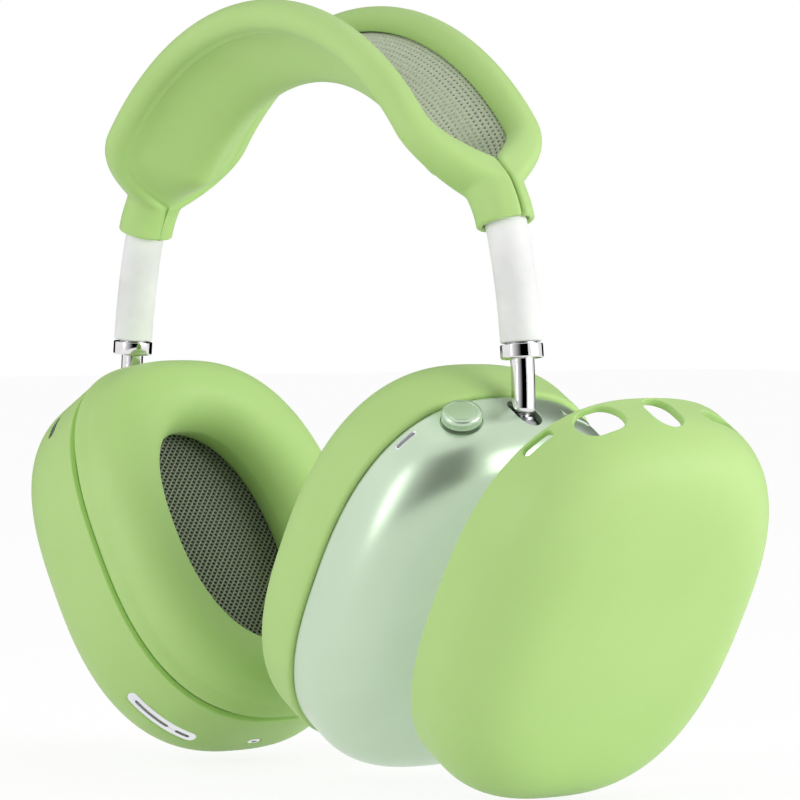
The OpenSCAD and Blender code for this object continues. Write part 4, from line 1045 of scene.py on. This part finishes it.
class HEADPHONES_OT_sleeves(PieceOperator, Operator):
    """Soft white sleeves round the arm tubes"""
    bl_idname = "headphones.sleeves"
    bl_label = "Arm sleeves"
    bore_r, edge = 4.05 * MM, 0.5 * MM

    def make(self):
        arch = Arch()
        s, edge = arch.s, self.edge
        white = plastic("Soft touch sleeve", sizes("colours").sleeve, 0.55, 1800, 0.12)
        bottom = math.asin((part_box("right_collar")[1].z - arch.arm[1]) / s.arm_r)
        a = np.concatenate([np.linspace(bottom, s.shoulder_angle, 40),
                            np.linspace(s.shoulder_angle, s.sleeve_top, 12)[1:]])
        q = np.linspace(0, 2 * np.pi, 64, endpoint=False)
        corner = np.linspace(0, np.pi / 2, 5)
        rows = [(a[0] + edge * (1 - math.sin(k)) / s.arm_r, s.sleeve_r - edge * (1 - math.cos(k)))
                for k in corner[::-1]]
        rows += [(h, s.sleeve_r) for h in a[1:-1]]
        rows += [(a[-1] - edge * (1 - math.sin(k)) / s.shoulder_r,
                  s.sleeve_r - edge * (1 - math.cos(k))) for k in corner]
        rows += [(h, self.bore_r) for h in a[::-1]]
        points, faces = turned([arch.point(np.full(64, h), r * np.cos(q), r * np.sin(q))
                                for h, r in rows], close=True)
        for side, word in SIDES:
            self.piece(word + "_sleeve_tube", (points * (side, 1, 1), faces), "headband",
                       "white_sleeve", white, [word + "_sleeve"])


class HEADPHONES_OT_cup_housing(PieceOperator, Operator):
    """Bare right cup of satin aluminium, with its slots and recesses"""
    bl_idname = "headphones.cup_housing"
    bl_label = "Right cup housing"
    rebate, ledge, ledge_t, back = 1.5 * MM, 2.6 * MM, 1.2 * MM, 3 * MM
    chamfer, inner_chamfer, cut_depth = 0.3 * MM, 0.1 * MM, 6 * MM
    inside_start, hole_edge, button_gap = 7 * MM, 0.18 * MM, 0.25 * MM
    recess_gap, recess_depth = 0.8 * MM, 1 * MM
    slot_cut, mic_cut, mic_wall = 8 * MM, 1.2 * MM, 0.9 * MM

    def make(self):
        cup = Cup(1)
        s, rebate, back, gap = cup.s, self.rebate, self.back, 2 * self.button_gap
        chamfer, inner = self.chamfer, self.inner_chamfer
        rings = cup.skin(-s.wall, self.inside_start)[::-1] + [cup.flat_ring(*row) for row in (
            (back + self.ledge_t, rebate + self.ledge), (back, rebate + self.ledge),
            (back, rebate), (inner, rebate), (0.0, rebate - inner), (0.0, chamfer),
            (0.2 * chamfer, 0.4 * chamfer))] + cup.skin(0, chamfer)
        holes = [
            (cup.slot_frame(s.slot_near, s.slot_far),
             pill(s.slot_far - s.slot_near, 2 * s.slot_half_w), self.slot_cut, s.wall),
            (cup.rim(s.button_rim, s.button_depth), pill(s.button_l + gap, s.button_w + gap),
             self.cut_depth, s.wall),
            (cup.rim(s.mic_rim, s.mic_depth), pill(s.mic_l, s.mic_w), self.mic_cut,
             self.mic_wall),
            (cup.rim(s.port_rim, s.port_depth), pill(s.port_l, s.port_w), self.cut_depth, s.wall)]
        cutters, liners = openings(cup.surface(0), holes, self.hole_edge)
        across = 2 * s.crown_r + self.recess_gap
        cutters.append(prism(pill(across, across), cup.rim(s.crown_rim, s.crown_depth),
                             -self.recess_depth, CLEAR))
        points, faces = carved("right_cup_shell", turned(rings), cutters, liners)
        self.piece("right_cup_shell", (cup.place(points), faces), "right_cup",
                   "satin_aluminium", aluminium(), ["right_cup_housing"], math.radians(32))


class HEADPHONES_OT_cup_covers(PieceOperator, Operator):
    """Silicone covers of the cups: the left one on, the right one pulled off to the side, where
    the bare cup doesn't mirror it"""
    bl_idname = "headphones.cup_covers"
    bl_label = "Cup covers"
    insert_gap, crown_hole_l = 0.2 * MM, 13.2 * MM
    # How far the holes lie round the rim past what they show, and towards the seam
    hole_past, mic_hole_past = math.radians(1.5), math.radians(1)
    crown_hole_in, hole_in = 0.6 * MM, 0.2 * MM
    # How much longer and wider than what they show they are
    button_hole, mic_hole, port_hole = np.array([(3, 1.6), (2.4, 1.2), (2, 1.4)]) * MM
    cut_depth, slit_half_w, slit_over = 6 * MM, 0.35 * MM, 0.6 * MM

    def make(self):
        right_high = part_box("right_cup_cover")[1]
        left_low, left_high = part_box("left_cup_cover")
        shift = (right_high.x + left_low.x, 0, right_high.z - left_high.z)
        s, gap = sizes("cups"), 2 * self.insert_gap
        left_holes = [(turn, depth, pill(long + gap, wide + gap))
                      for turn, depth, long, wide in LEFT_INSERTS]
        right_holes = [
            (s.crown_rim + self.hole_past, s.crown_depth - self.crown_hole_in,
             pill(self.crown_hole_l, 2 * s.crown_r)),
            (s.button_rim + self.hole_past, s.button_depth - self.hole_in,
             pill(*(self.button_hole + (s.button_l, s.button_w)))),
            (s.mic_rim + self.mic_hole_past, s.mic_depth - self.hole_in,
             pill(*(self.mic_hole + (s.mic_l, s.mic_w)))),
            (s.port_rim, s.port_depth, pill(*(self.port_hole + (s.port_l, s.port_w))))]
        self.cover(Cup(-1), left_holes, "left_cup", "left_cup_cover")
        right = self.cover(Cup(1, shift), right_holes, "right_cup_cover", "right_cup_cover")
        right.visible_glossy = False

    def cover(self, cup, holes, body, node):
        """A cover with a round lip, its holes, and the slit from the stem's hole to the lip"""
        s = cup.s
        inner, outer, r = s.fit, s.fit + s.cover_t, s.lip_r
        q = np.linspace(0, np.pi / 2, 6)
        end = -s.left_lip if cup.side < 0 else 0.0
        lip = [cup.ring(0, end + r - r * math.sin(k), 0, inner + r - r * math.cos(k))
               for k in q[1:]]
        lip += [cup.ring(0, end + r - r * math.cos(k), 0, outer - r + r * math.sin(k))
                for k in q[:-1]]
        rings = cup.skin(inner, end + r)[::-1] + lip + cup.skin(outer, end + r)
        stem = cup.slot_frame(s.hole_near, s.hole_far)
        through = [(stem, pill(s.hole_far - s.hole_near, 2 * s.hole_half_w))] + [
            (cup.rim(turn, depth), outline) for turn, depth, outline in holes]
        cutters, liners = openings(cup.surface(outer), [
            (place, outline, self.cut_depth, s.cover_t) for place, outline in through], s.hole_edge)
        middle, cut = (s.hole_near + s.hole_far) / 2, self.slit_half_w
        low, high = end - 1 * MM - middle, s.hole_near + self.slit_over - middle
        slit = np.array([(-cut, low), (cut, low), (cut, high), (-cut, high)])
        cutters.append(prism(slit, stem, -self.cut_depth, CLEAR))
        points, faces = carved(node, turned(rings), cutters, liners)
        return self.piece(node + "_skin", (cup.place(points), faces), body, "silicone",
                          silicone(), [node], math.radians(40))


# Inserts of the left cup as place round the rim, distance from the seam, length and width
LEFT_INSERTS = (
    (math.radians(217), 7.6 * MM, 22 * MM, 3.8 * MM),
    (math.radians(180.5), 6.2 * MM, 4.2 * MM, 2.2 * MM),
    (math.radians(-41), 5.2 * MM, 9 * MM, 2.8 * MM),
)
# Slots in each insert as place along it, length and width
INSERT_SLOTS = (
    ((3 * MM, 11.5 * MM, 1.1 * MM), (-7.2 * MM, 4.4 * MM, 1.1 * MM)),
    ((0.0, 2 * MM, 0.8 * MM),),
    ((0.0, 5.6 * MM, 0.9 * MM),),
)


class HEADPHONES_OT_left_inserts(PieceOperator, Operator):
    """Bright inserts of the left cup that show through its cover"""
    bl_idname = "headphones.left_inserts"
    bl_label = "Left cup inserts"
    edge, slot_cut, slot_depth = 0.35 * MM, 6 * MM, 0.7 * MM
    gauze_over, gauze_edge = 0.1 * MM, 0.1 * MM

    def make(self):
        cup = Cup(-1)
        tree, top = cup.surface(0), cup.s.insert_t
        names = ("left_vent_frame", "left_lower_microphone", "left_upper_microphone")
        for name, (turn, depth, long, wide), slots in zip(names, LEFT_INSERTS, INSERT_SLOTS):
            place = cup.rim(turn, depth)
            block = laid_block(tree, place, pill(long, wide), 0.02 * MM, top, self.edge)
            cutters, floors = [], []
            for along, slot_l, slot_w in slots:
                moved = place.copy()
                moved[:3, 3] += place[:3, 1] * along
                cutters.append(prism(pill(slot_l, slot_w, 48), moved, -self.slot_cut, CLEAR))
                under = pill(slot_l + self.gauze_over, slot_w + self.gauze_over, 48)
                floors.append(laid_block(tree, moved, under, 0.03 * MM, top - self.slot_depth,
                                         self.gauze_edge, 3))
            points, faces = carved(name, block, cutters)
            self.piece(name + "_plate", (cup.place(points), faces), "left_cup", "silver_trim",
                       bright_trim(), [name], math.radians(35))
            points, faces = joined(floors)
            self.piece(name + "_gauze", (cup.place(points), faces), "left_cup", "dark_plastic",
                       slot_gauze())


class HEADPHONES_OT_right_controls(PieceOperator, Operator):
    """Turning crown, oblong button and microphone insert of the right cup"""
    bl_idname = "headphones.right_controls"
    bl_label = "Right cup controls"
    crown_bore_r, crown_round, knurl_teeth, knurl_depth = 1.56 * MM, 0.85 * MM, 60, 0.22 * MM
    knurl_from, knurl_to = 0.45 * MM, 1.75 * MM
    groove_in, groove_half_w, groove_depth = 0.35 * MM, 0.12 * MM, 0.09 * MM
    button_low, button_proud, button_edge = -3.5 * MM, 0.4 * MM, 0.4 * MM
    # The microphone's ring and its gauze: smaller than the slot by, and where they end
    ring_in, ring_wall, ring_edge = 0.7 * MM, 0.8 * MM, 0.3 * MM
    gauze_in, gauze_low, gauze_high, gauze_edge = 0.2 * MM, -1.1 * MM, -0.5 * MM, 0.1 * MM

    def make(self):
        cup = Cup(1)
        self.crown(cup)
        self.button(cup)
        self.microphone(cup)

    def crown(self, cup):
        """Crown with a flat top inside a fine ring, a round shoulder and a knurled side"""
        s, n, round_r = cup.s, 720, self.crown_round
        r, top = s.crown_r, s.crown_proud
        q = np.linspace(0, 2 * np.pi, n, endpoint=False)
        knurl = self.knurl_depth * (0.5 - 0.5 * np.cos(q * self.knurl_teeth))
        rows = [(self.crown_bore_r, 0.0, 0), (r - 0.5 * MM, 0.0, 0),
                (r - 0.12 * MM, 0.3 * MM, 0)]
        rows += [(r, z, 1) for z in np.linspace(self.knurl_from, self.knurl_to, 5)]
        rows += [(r + 0.03 * MM, 1.9 * MM, 0), (r + 0.03 * MM, top - round_r, 0)]
        rows += [(r - round_r * (1 - math.cos(k)), top - round_r + round_r * math.sin(k), 0)
                 for k in np.linspace(0, np.pi / 2, 9)[1:]]
        groove, half_w = r - round_r - self.groove_in, self.groove_half_w
        rows += [(groove + half_w, top, 0), (groove, top - self.groove_depth, 0),
                 (groove - half_w, top, 0), (groove * 0.5, top + 0.02 * MM, 0),
                 (0.0, top + 0.03 * MM, 0)]
        rings = []
        for radius, z, share in rows:
            local = radius - knurl * share
            rings.append(np.column_stack([local * np.cos(q), local * np.sin(q), np.full(n, z)]))
        place = cup.rim(s.crown_rim, s.crown_depth)
        points, faces = turned(rings)
        points = cup.place(points @ place[:3, :3].T + place[:3, 3])
        self.piece("crown_cap", (points, faces), "crown", "satin_aluminium", aluminium(),
                   ["crown_knob"], math.radians(30))

    def button(self, cup):
        s = cup.s
        points, faces = laid_block(cup.surface(0), cup.rim(s.button_rim, s.button_depth),
                                   pill(s.button_l, s.button_w), self.button_low,
                                   self.button_proud, self.button_edge)
        self.piece("mode_button_cap", (cup.place(points), faces), "mode_button",
                   "satin_aluminium", aluminium(), ["mode_button"])

    def microphone(self, cup):
        """Bright ring in the microphone's slot, with gauze behind it"""
        s, place, tree = cup.s, cup.rim(cup.s.mic_rim, cup.s.mic_depth), cup.surface(0)
        mouth = pill(s.mic_l - self.ring_in, s.mic_w - self.ring_in)
        points, faces = hole_liner(tree, place, mouth, self.ring_wall, self.ring_edge)
        self.piece("right_microphone_ring", (cup.place(points), faces), "right_cup",
                   "silver_trim", bright_trim(), ["right_microphone"])
        under = pill(s.mic_l - self.gauze_in, s.mic_w - self.gauze_in)
        points, faces = laid_block(tree, place, under, self.gauze_low, self.gauze_high,
                                   self.gauze_edge, 3)
        self.piece("right_microphone_gauze", (cup.place(points), faces), "right_cup",
                   "dark_plastic", slot_gauze())


class Cushion:
    """Section and outline of an ear cushion: the share runs from the opening to the outer edge."""
    # Parts of the depth on both sides of the widest place, and how square each corner is
    front_part, back_part = 0.58, 0.42
    front_across, front_deep, back_corner, ear_corner = 2 / 2.3, 2 / 2.1, 0.16, 2 / 2.2
    undercut_bend = 1.6
    # The left cushion behind its cover's lip: gap, swell past the lip, and where these begin
    press_gap, swell_out, press_from, press_l = 0.3 * MM, 1.3 * MM, 0.15 * MM, 0.4 * MM
    swell_place, swell_l = 2 * MM, 5 * MM

    def __init__(self, cup, n=240):
        self.cup, self.s = cup, sizes("cushions")
        s = self.s
        self.back = -s.seam_gap
        self.mid = self.back - s.depth * self.back_part
        q = np.linspace(0, 2 * np.pi, 2048, endpoint=False)
        inner, outer = self.outlines(q)
        middle = (inner + outer) / 2
        run = np.concatenate([[0], np.cumsum(np.linalg.norm(
            np.diff(np.vstack([middle, middle[:1]]), axis=0), axis=1))])
        at = np.linspace(0, run[-1], n, endpoint=False)
        q = np.interp(at, run, np.append(q, 2 * np.pi))
        self.inner, self.outer = self.outlines(q)

    def outlines(self, q):
        s, c = self.s, self.cup.s
        inner = np.stack([s.ear_half_w * signed_power(np.cos(q), self.ear_corner),
                          s.ear_half_h * signed_power(np.sin(q), self.ear_corner)], axis=1)
        outer = np.stack([(c.half_w + s.proud) * signed_power(np.cos(q), 2 / c.exponent),
                          (c.half_h + s.proud) * signed_power(np.sin(q), 2 / c.exponent)], axis=1)
        return inner, outer

    def share_at(self, half_w):
        s, c = self.s, self.cup.s
        return (half_w - s.ear_half_w) / (c.half_w + s.proud - s.ear_half_w)

    def section(self, q, inset):
        """Share and depth at section angles q: a quarter turn is towards the head. The left
        cushion is pressed in behind its cover's lip."""
        s, c = self.s, self.cup.s
        front, width = np.sin(q) >= 0, c.half_w - s.ear_half_w
        deep = np.where(front, self.front_part, self.back_part) * s.depth - inset
        across = np.where(front, self.front_across, self.back_corner)
        along = np.where(front, self.front_deep, self.back_corner)
        share = 0.5 + (0.5 - inset / width) * signed_power(np.cos(q), across)
        depth = self.mid - deep * signed_power(np.sin(q), along)
        back = np.clip((depth - self.mid) / (self.back - self.mid), 0, 1)
        share = share + s.undercut / width * back ** self.undercut_bend * np.clip(
            1 - share / 0.5, 0, 1)
        if self.cup.side < 0:
            span, lip = width + s.proud, depth + c.left_lip
            pressed = 1 - (s.proud + self.press_gap + inset) / span
            swell = (self.swell_out - 0.5 * inset) / span
            past = np.clip((lip + self.press_from) / self.press_l, 0, 1)
            bulge = np.clip(1 - ((lip + self.swell_place) / self.swell_l) ** 2, 0, 1) ** 2
            wide = share + swell * bulge * np.clip((share - 0.5) / 0.4, 0, 1)
            share = wide + (np.minimum(wide, pressed) - wide) * past
        return share, depth

    def ring(self, share, depth):
        line = self.inner + share * (self.outer - self.inner)
        return np.column_stack([np.full(len(line), depth), line])

    def loop(self, rows):
        points, faces = turned([self.ring(share, depth) for share, depth in rows], close=True)
        return self.cup.place(points), faces


class HEADPHONES_OT_cushions(PieceOperator, Operator):
    """Ear cushions: foam rings in their silicone covers"""
    bl_idname = "headphones.cushions"
    bl_label = "Ear cushions"

    # Section angles, in degrees, with the number of rows up to each of them
    section_steps = ((-20, 20), (30, 120), (180, 51), (264, 26))
    lip_over, lip_in = 2.2 * MM, 0.6 * MM
    plate_t, foam_side, foam_edge = 1.2 * MM, 2.5 * MM, 0.4 * MM

    def make(self):
        for side, _ in SIDES:
            self.cushion(Cup(side))

    def cushion(self, cup):
        pad = Cushion(cup)
        s = pad.s
        angles = [np.array([-84.0])]
        for end, n in self.section_steps:
            angles.append(np.linspace(angles[-1][-1], end, n)[1:])
        q = np.radians(np.concatenate(angles))
        outside = list(zip(*pad.section(q, 0)))
        inside = list(zip(*pad.section(q, s.skin_t)))[::-1]
        outer_lip = pad.share_at(s.mouth_half_w + s.frame_w + self.lip_over)
        inner_lip = pad.share_at(s.mouth_half_w - self.lip_in)
        r = s.skin_t / 2
        quarter = np.linspace(0, np.pi, 7)[1:-1]
        width = cup.s.half_w - s.ear_half_w
        start = [(outer_lip - r / width * math.sin(k), pad.back - r - r * math.cos(k))
                 for k in quarter]
        end = [(inner_lip + r / width * math.sin(k), pad.back - r + r * math.cos(k))
               for k in quarter]
        rows = ([(outer_lip, pad.back)] + outside + [(inner_lip, pad.back)] + end
                + [(inner_lip, pad.back - s.skin_t)] + inside
                + [(outer_lip, pad.back - s.skin_t)] + start)
        name = cup.word + "_pad_cover"
        cover = self.piece(name + "_skin", pad.loop(rows), cup.word + "_cup", "silicone",
                           silicone(), [name], math.radians(50))
        self.foam(pad)

    def foam(self, pad):
        s, word = pad.s, pad.cup.word
        gap = s.skin_t + s.fit
        rim = gap / (pad.cup.s.half_w - s.ear_half_w)
        q = np.radians(np.linspace(12, 168, 31))
        back = pad.back - gap - self.plate_t
        side, edge = back - self.foam_side, back - self.foam_edge
        rows = [(0.9 - rim, side)] + list(zip(*pad.section(q, gap)))
        rows += [(rim + 0.2, side), (rim + 0.24, edge), (rim + 0.28, back), (0.84 - rim, back),
                 (0.88 - rim, edge)]
        core = self.piece(word + "_cushion_core", pad.loop(rows), word + "_cup", "foam",
                          woven("Cushion foam", sizes("colours").foam), [word + "_cushion_foam"])


class HEADPHONES_OT_speaker_cloths(PieceOperator, Operator):
    """Open loudspeaker cloth of waved threads over a dark backing"""
    bl_idname = "headphones.speaker_cloths"
    bl_label = "Loudspeaker cloths"
    room, front, wave_depth, steps_a_wave = 0.4 * MM, -0.45 * MM, 0.16 * MM, 10

    def make(self):
        for side, _ in SIDES:
            self.cloth(Cup(side))

    def cloth(self, cup):
        s, c, sides = sizes("cushions"), sizes("colours"), 6
        half_w, half_h, e = s.mouth_half_w - self.room, s.mouth_half_h - self.room, cup.s.exponent
        count = int(half_w / s.thread_pitch)
        step = s.thread_wave / self.steps_a_wave
        q = np.linspace(0, 2 * np.pi, sides, endpoint=False)
        parts = []
        for i in range(-count, count + 1):
            middle = i * s.thread_pitch
            reach = half_h * (1 - (abs(middle) / half_w) ** e) ** (1 / e) - self.room
            if reach < s.thread_wave:
                continue
            z = np.arange(-reach, reach, step)
            wave = 2 * np.pi * z / s.thread_wave + np.pi * (i % 2)
            y = middle + 0.5 * s.thread_pitch * np.sin(wave)
            x = self.front - self.wave_depth * np.cos(wave)
            line = np.column_stack([x, y, z])
            along = np.gradient(line, axis=0)
            along /= np.linalg.norm(along, axis=1, keepdims=True)
            across = np.cross(along, (1.0, 0, 0))
            across /= np.linalg.norm(across, axis=1, keepdims=True)
            up = np.cross(across, along)
            ring = (line[:, None] + s.thread_r * (np.cos(q)[None, :, None] * across[:, None]
                                                  + np.sin(q)[None, :, None] * up[:, None]))
            parts.append((ring.reshape(-1, 3), grid_faces(len(z), sides)))
        points, faces = joined(parts)
        name, body = cup.word + "_speaker_cloth", cup.word + "_cup"
        self.piece(name + "_threads", (cup.place(points), faces), body, "speaker_knit",
                   woven("Cloth thread", c.thread), [name], math.radians(70))
        n = 120
        points, faces = turned([
            np.column_stack([np.full(n, depth), superellipse(half_w - d, half_h - d, e, n)])
            for depth, d in ((0.18 * MM, 0), (-0.1 * MM, 0), (-0.2 * MM, 0.3 * MM))])
        faces = list(faces) + [list(range(n)), list(range(2 * n, 3 * n))]
        self.piece(name + "_backing", (cup.place(points), faces), body, "speaker_knit",
                   woven("Cloth backing", c.backing, 0.95))


class HEADPHONES_OT_metalwork(PieceOperator, Operator):
    """Finishes of the packed model's own pieces"""
    bl_idname = "headphones.metalwork"
    bl_label = "Finishes of the fixed pieces"

    def make(self):
        c = sizes("colours")
        finishes = {
            "chrome": polished_chrome(),
            "steel": metal("Satin steel", c.steel, 0.32),
            "satin_aluminium": aluminium(),
            "rod_jacket": rod_jacket(),
            "dark_plastic": plastic("Dark plastic", c.dark),
            "driver_frame": metal("Cast frame", c.cast, 0.42, 700, 0.3),
            "magnet": metal("Plated magnet", c.magnet, 0.25),
            "diaphragm_film": plastic("Speaker film", c.film, 0.35, 600, 0.15),
            "circuit_board": board("Circuit board", c.board),
            "battery_wrap": plastic("Battery wrap", c.battery, 0.4, 500, 0.2),
            "grey_trim": plastic("Grey trim", c.grey, 0.45),
            "silver_trim": bright_trim(),
            "brass": metal("Brass", c.brass, 0.3),
        }
        groups = {
            "chrome": ("stem", "collar"), "steel": ("knuckle", "tilt_pin", "arm_tube", "yoke",
                                                    "baffle_screws", "crown_shaft"),
            "satin_aluminium": ("cup_housing", "crown_knob", "mode_button"),
            "rod_jacket": ("front_rod", "rear_rod"),
            "dark_plastic": ("hinge_bracket", "baffle", "cushion_plate", "crown_switch",
                             "button_switch"),
            "driver_frame": ("driver_basket",), "magnet": ("driver_magnet",),
            "diaphragm_film": ("diaphragm",), "circuit_board": ("circuit_board",),
            "battery_wrap": ("battery",), "grey_trim": ("seam_ring",),
            "silver_trim": ("vent_frame", "microphone", "charging_port"), "brass": ("crown_bush",),
        }
        for name, node in frame["nodes"].items():
            found = [slot for slot, words in groups.items() if name.endswith(words)]
            node.data.materials.clear()
            node.data.materials.append(finishes[found[0]] if found else silicone())
            node.data.shade_smooth()
            node.data.set_sharp_from_angle(angle=math.radians(25))


# ------------------------------------------------------------------ the stage

class HEADPHONES_OT_stage(PieceOperator, Operator):
    """Camera, soft lamps, pale floor and white surroundings"""
    bl_idname = "headphones.stage"
    bl_label = "Stage"
    # Lamps with their width, height and place along the camera's right, up and back directions
    lamp_places = (("Right", 1.0, 0.62, (1.25, 0.21, 0.42)), ("Left", 0.26, 0.9, (-1.0, 0.36, 0.72)),
                   ("Above", 1.2, 1.2, (0.0, 1.3, -0.2)))
    floor_half, floor_gap, floor_pale, floor_glow, floor_share = 6.0, 1.5 * MM, 0.9, 1.08, 0.8
    card_r, card_half_h, card_n = 0.7, 0.8, 40

    def make(self):
        self.s = sizes("stage")
        scene = bpy.context.scene
        scene.view_settings.view_transform = "Standard"
        self.camera(scene)
        self.surroundings(scene)
        self.floor()
        for name, width, height, place in self.lamp_places:
            self.lamp(name, getattr(self.s, name.lower()), width, height, place)
        self.cards()

    def axes(self):
        """The camera's right, up and back directions."""
        a, e = self.s.azimuth, self.s.elevation
        right = Vector((math.cos(a), math.sin(a), 0))
        back = Vector((math.sin(a) * math.cos(e), -math.cos(a) * math.cos(e), math.sin(e)))
        return right, back.cross(right), back

    def camera(self, scene):
        data = bpy.data.cameras.new("Camera")
        data.lens, data.sensor_width, data.clip_start = self.s.lens, 36, 0.01
        camera = bpy.data.objects.new("Camera", data)
        scene.collection.objects.link(camera)
        right, up, back = self.axes()
        self.target = Vector((self.s.target_x, 0, self.s.target_z))
        camera.matrix_world = Matrix.Translation(self.target + back * self.s.distance) @ Matrix(
            (right, up, back)).transposed().to_4x4()
        scene.camera = camera

    def seen(self, tree):
        """A socket that is 1 for rays from the camera, in mirrors and through glass."""
        path = tree.nodes.new("ShaderNodeLightPath")
        value = path.outputs["Is Camera Ray"]
        for name in ("Is Glossy Ray", "Is Transmission Ray"):
            most = tree.nodes.new("ShaderNodeMath")
            most.operation = "MAXIMUM"
            tree.links.new(value, most.inputs[0])
            tree.links.new(path.outputs[name], most.inputs[1])
            value = most.outputs[0]
        return value

    def surroundings(self, scene):
        world = bpy.data.worlds.new("Surroundings")
        world.use_nodes = True
        tree = world.node_tree
        light = tree.nodes["Background"]
        light.inputs["Color"].default_value = (1, 1, 1, 1)
        light.inputs["Strength"].default_value = self.s.ambient
        white = tree.nodes.new("ShaderNodeBackground")
        white.inputs["Color"].default_value = (1, 1, 1, 1)
        mix = tree.nodes.new("ShaderNodeMixShader")
        tree.links.new(self.seen(tree), mix.inputs["Fac"])
        tree.links.new(light.outputs[0], mix.inputs[1])
        tree.links.new(white.outputs[0], mix.inputs[2])
        tree.links.new(mix.outputs[0], tree.nodes["World Output"].inputs["Surface"])
        scene.world = world

    def floor(self):
        size, z = self.floor_half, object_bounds()[0].z - self.floor_gap
        points = [(x * size, y * size, z) for x, y in ((-1, -1), (1, -1), (1, 1), (-1, 1))]
        floor = add_object("floor", build_mesh("floor", points, [(0, 1, 2, 3)]))
        material = bpy.data.materials.new("Pale floor")
        material.use_nodes = True
        tree = material.node_tree
        shader = tree.nodes["Principled BSDF"]
        shader.inputs["Base Color"].default_value = (*[self.floor_pale] * 3, 1)
        shader.inputs["Roughness"].default_value = 0.9
        glow = tree.nodes.new("ShaderNodeEmission")
        glow.inputs["Strength"].default_value = self.floor_glow
        scale = tree.nodes.new("ShaderNodeMath")
        scale.operation, scale.inputs[1].default_value = "MULTIPLY", self.floor_share
        tree.links.new(self.seen(tree), scale.inputs[0])
        mix = tree.nodes.new("ShaderNodeMixShader")
        tree.links.new(scale.outputs[0], mix.inputs["Fac"])
        tree.links.new(shader.outputs[0], mix.inputs[1])
        tree.links.new(glow.outputs[0], mix.inputs[2])
        tree.links.new(mix.outputs[0], tree.nodes["Material Output"].inputs["Surface"])
        floor.data.materials.append(material)
        floor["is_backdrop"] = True

    def lamp(self, name, power, width, height, place):
        """An area lamp at a place given along the camera's right, up and back directions."""
        data = bpy.data.lights.new(name, "AREA")
        data.shape, data.size, data.size_y, data.energy = "RECTANGLE", width, height, power
        lamp = bpy.data.objects.new(name, data)
        bpy.context.scene.collection.objects.link(lamp)
        right, up, back = self.axes()
        away = right * place[0] + up * place[1] + back * place[2]
        lamp.location = self.target + away
        lamp.rotation_mode = "QUATERNION"
        lamp.rotation_quaternion = away.to_track_quat("Z", "Y")

    def cards(self):
        """Dark cards that only mirrors see: a fading one round the camera and one behind."""
        s, radius, n = self.s, self.card_r, self.card_n
        points, faces, shades = [], [], []
        for fades, arc in ((True, np.linspace(s.card_from, s.card_to, n)),
                           (False, np.linspace(s.back_card, 2 * np.pi - s.back_card, n))):
            first = len(points)
            for turn in arc:
                a = s.azimuth - np.pi / 2 + turn
                points += [(self.target.x + radius * math.cos(a), radius * math.sin(a),
                            self.target.z + z) for z in (-self.card_half_h, self.card_half_h)]
                fade = (turn - s.card_from) / (s.card_full - s.card_from)
                shades += [max(0.0, 1 - fade) if fades else 0.0] * 2
            faces += [[k, k + 2, k + 3, k + 1] for k in range(first, first + 2 * n - 2, 2)]
        mesh = bpy.data.meshes.new("cards")
        mesh.from_pydata(points, [], faces)
        mesh.attributes.new("shade", "FLOAT", "POINT").data.foreach_set("value", shades)
        cards = add_object("cards", mesh)
        material = bpy.data.materials.new("Card")
        material.use_nodes = True
        tree = material.node_tree
        tree.nodes.remove(tree.nodes["Principled BSDF"])
        glow, shade = tree.nodes.new("ShaderNodeEmission"), tree.nodes.new("ShaderNodeAttribute")
        shade.attribute_name = "shade"
        tree.links.new(shade.outputs["Fac"], glow.inputs["Strength"])
        tree.links.new(glow.outputs[0], tree.nodes["Material Output"].inputs["Surface"])
        mesh.materials.append(material)
        for rays in ("camera", "diffuse", "transmission", "volume_scatter", "shadow"):
            setattr(cards, "visible_" + rays, False)
        cards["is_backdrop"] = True


# ------------------------------------------------------------------ the add-on

PIECES = (
    HEADPHONES_OT_metalwork, HEADPHONES_OT_headband_cover, HEADPHONES_OT_canopy,
    HEADPHONES_OT_rods, HEADPHONES_OT_chrome, HEADPHONES_OT_sleeves,
    HEADPHONES_OT_cup_housing, HEADPHONES_OT_cup_covers, HEADPHONES_OT_left_inserts,
    HEADPHONES_OT_right_controls, HEADPHONES_OT_cushions, HEADPHONES_OT_speaker_cloths,
    HEADPHONES_OT_stage,
)
GROUPS = {"arch": ArchSizes, "cups": CupSizes, "cushions": CushionSizes,
          "colours": FinishColours, "stage": StageSizes}


class HEADPHONES_PT_panel(Panel):
    """Lists the pieces of the headphones and their sizes"""
    bl_idname = "HEADPHONES_PT_panel"
    bl_label = "Headphones"
    bl_space_type = "VIEW_3D"
    bl_region_type = "UI"
    bl_category = "Headphones"

    def draw(self, context):
        for piece in PIECES:
            self.layout.operator(piece.bl_idname)
        for name, group in GROUPS.items():
            box = self.layout.box()
            box.label(text=group.__doc__)
            for prop in group.__annotations__:
                box.prop(sizes(name), prop)


def register():
    for group in GROUPS.values():
        bpy.utils.register_class(group)
    for name, group in GROUPS.items():
        setattr(bpy.types.Scene, "headphones_" + name, PointerProperty(type=group))
    for piece in PIECES:
        bpy.utils.register_class(piece)
    bpy.utils.register_class(HEADPHONES_PT_panel)


def unregister():
    bpy.utils.unregister_class(HEADPHONES_PT_panel)
    for piece in reversed(PIECES):
        bpy.utils.unregister_class(piece)
    for name, group in GROUPS.items():
        delattr(bpy.types.Scene, "headphones_" + name)
        bpy.utils.unregister_class(group)


def main():
    register()
    for piece in PIECES:
        getattr(bpy.ops.headphones, piece.bl_idname.split(".")[1])()


if __name__ == "__main__":
    main()
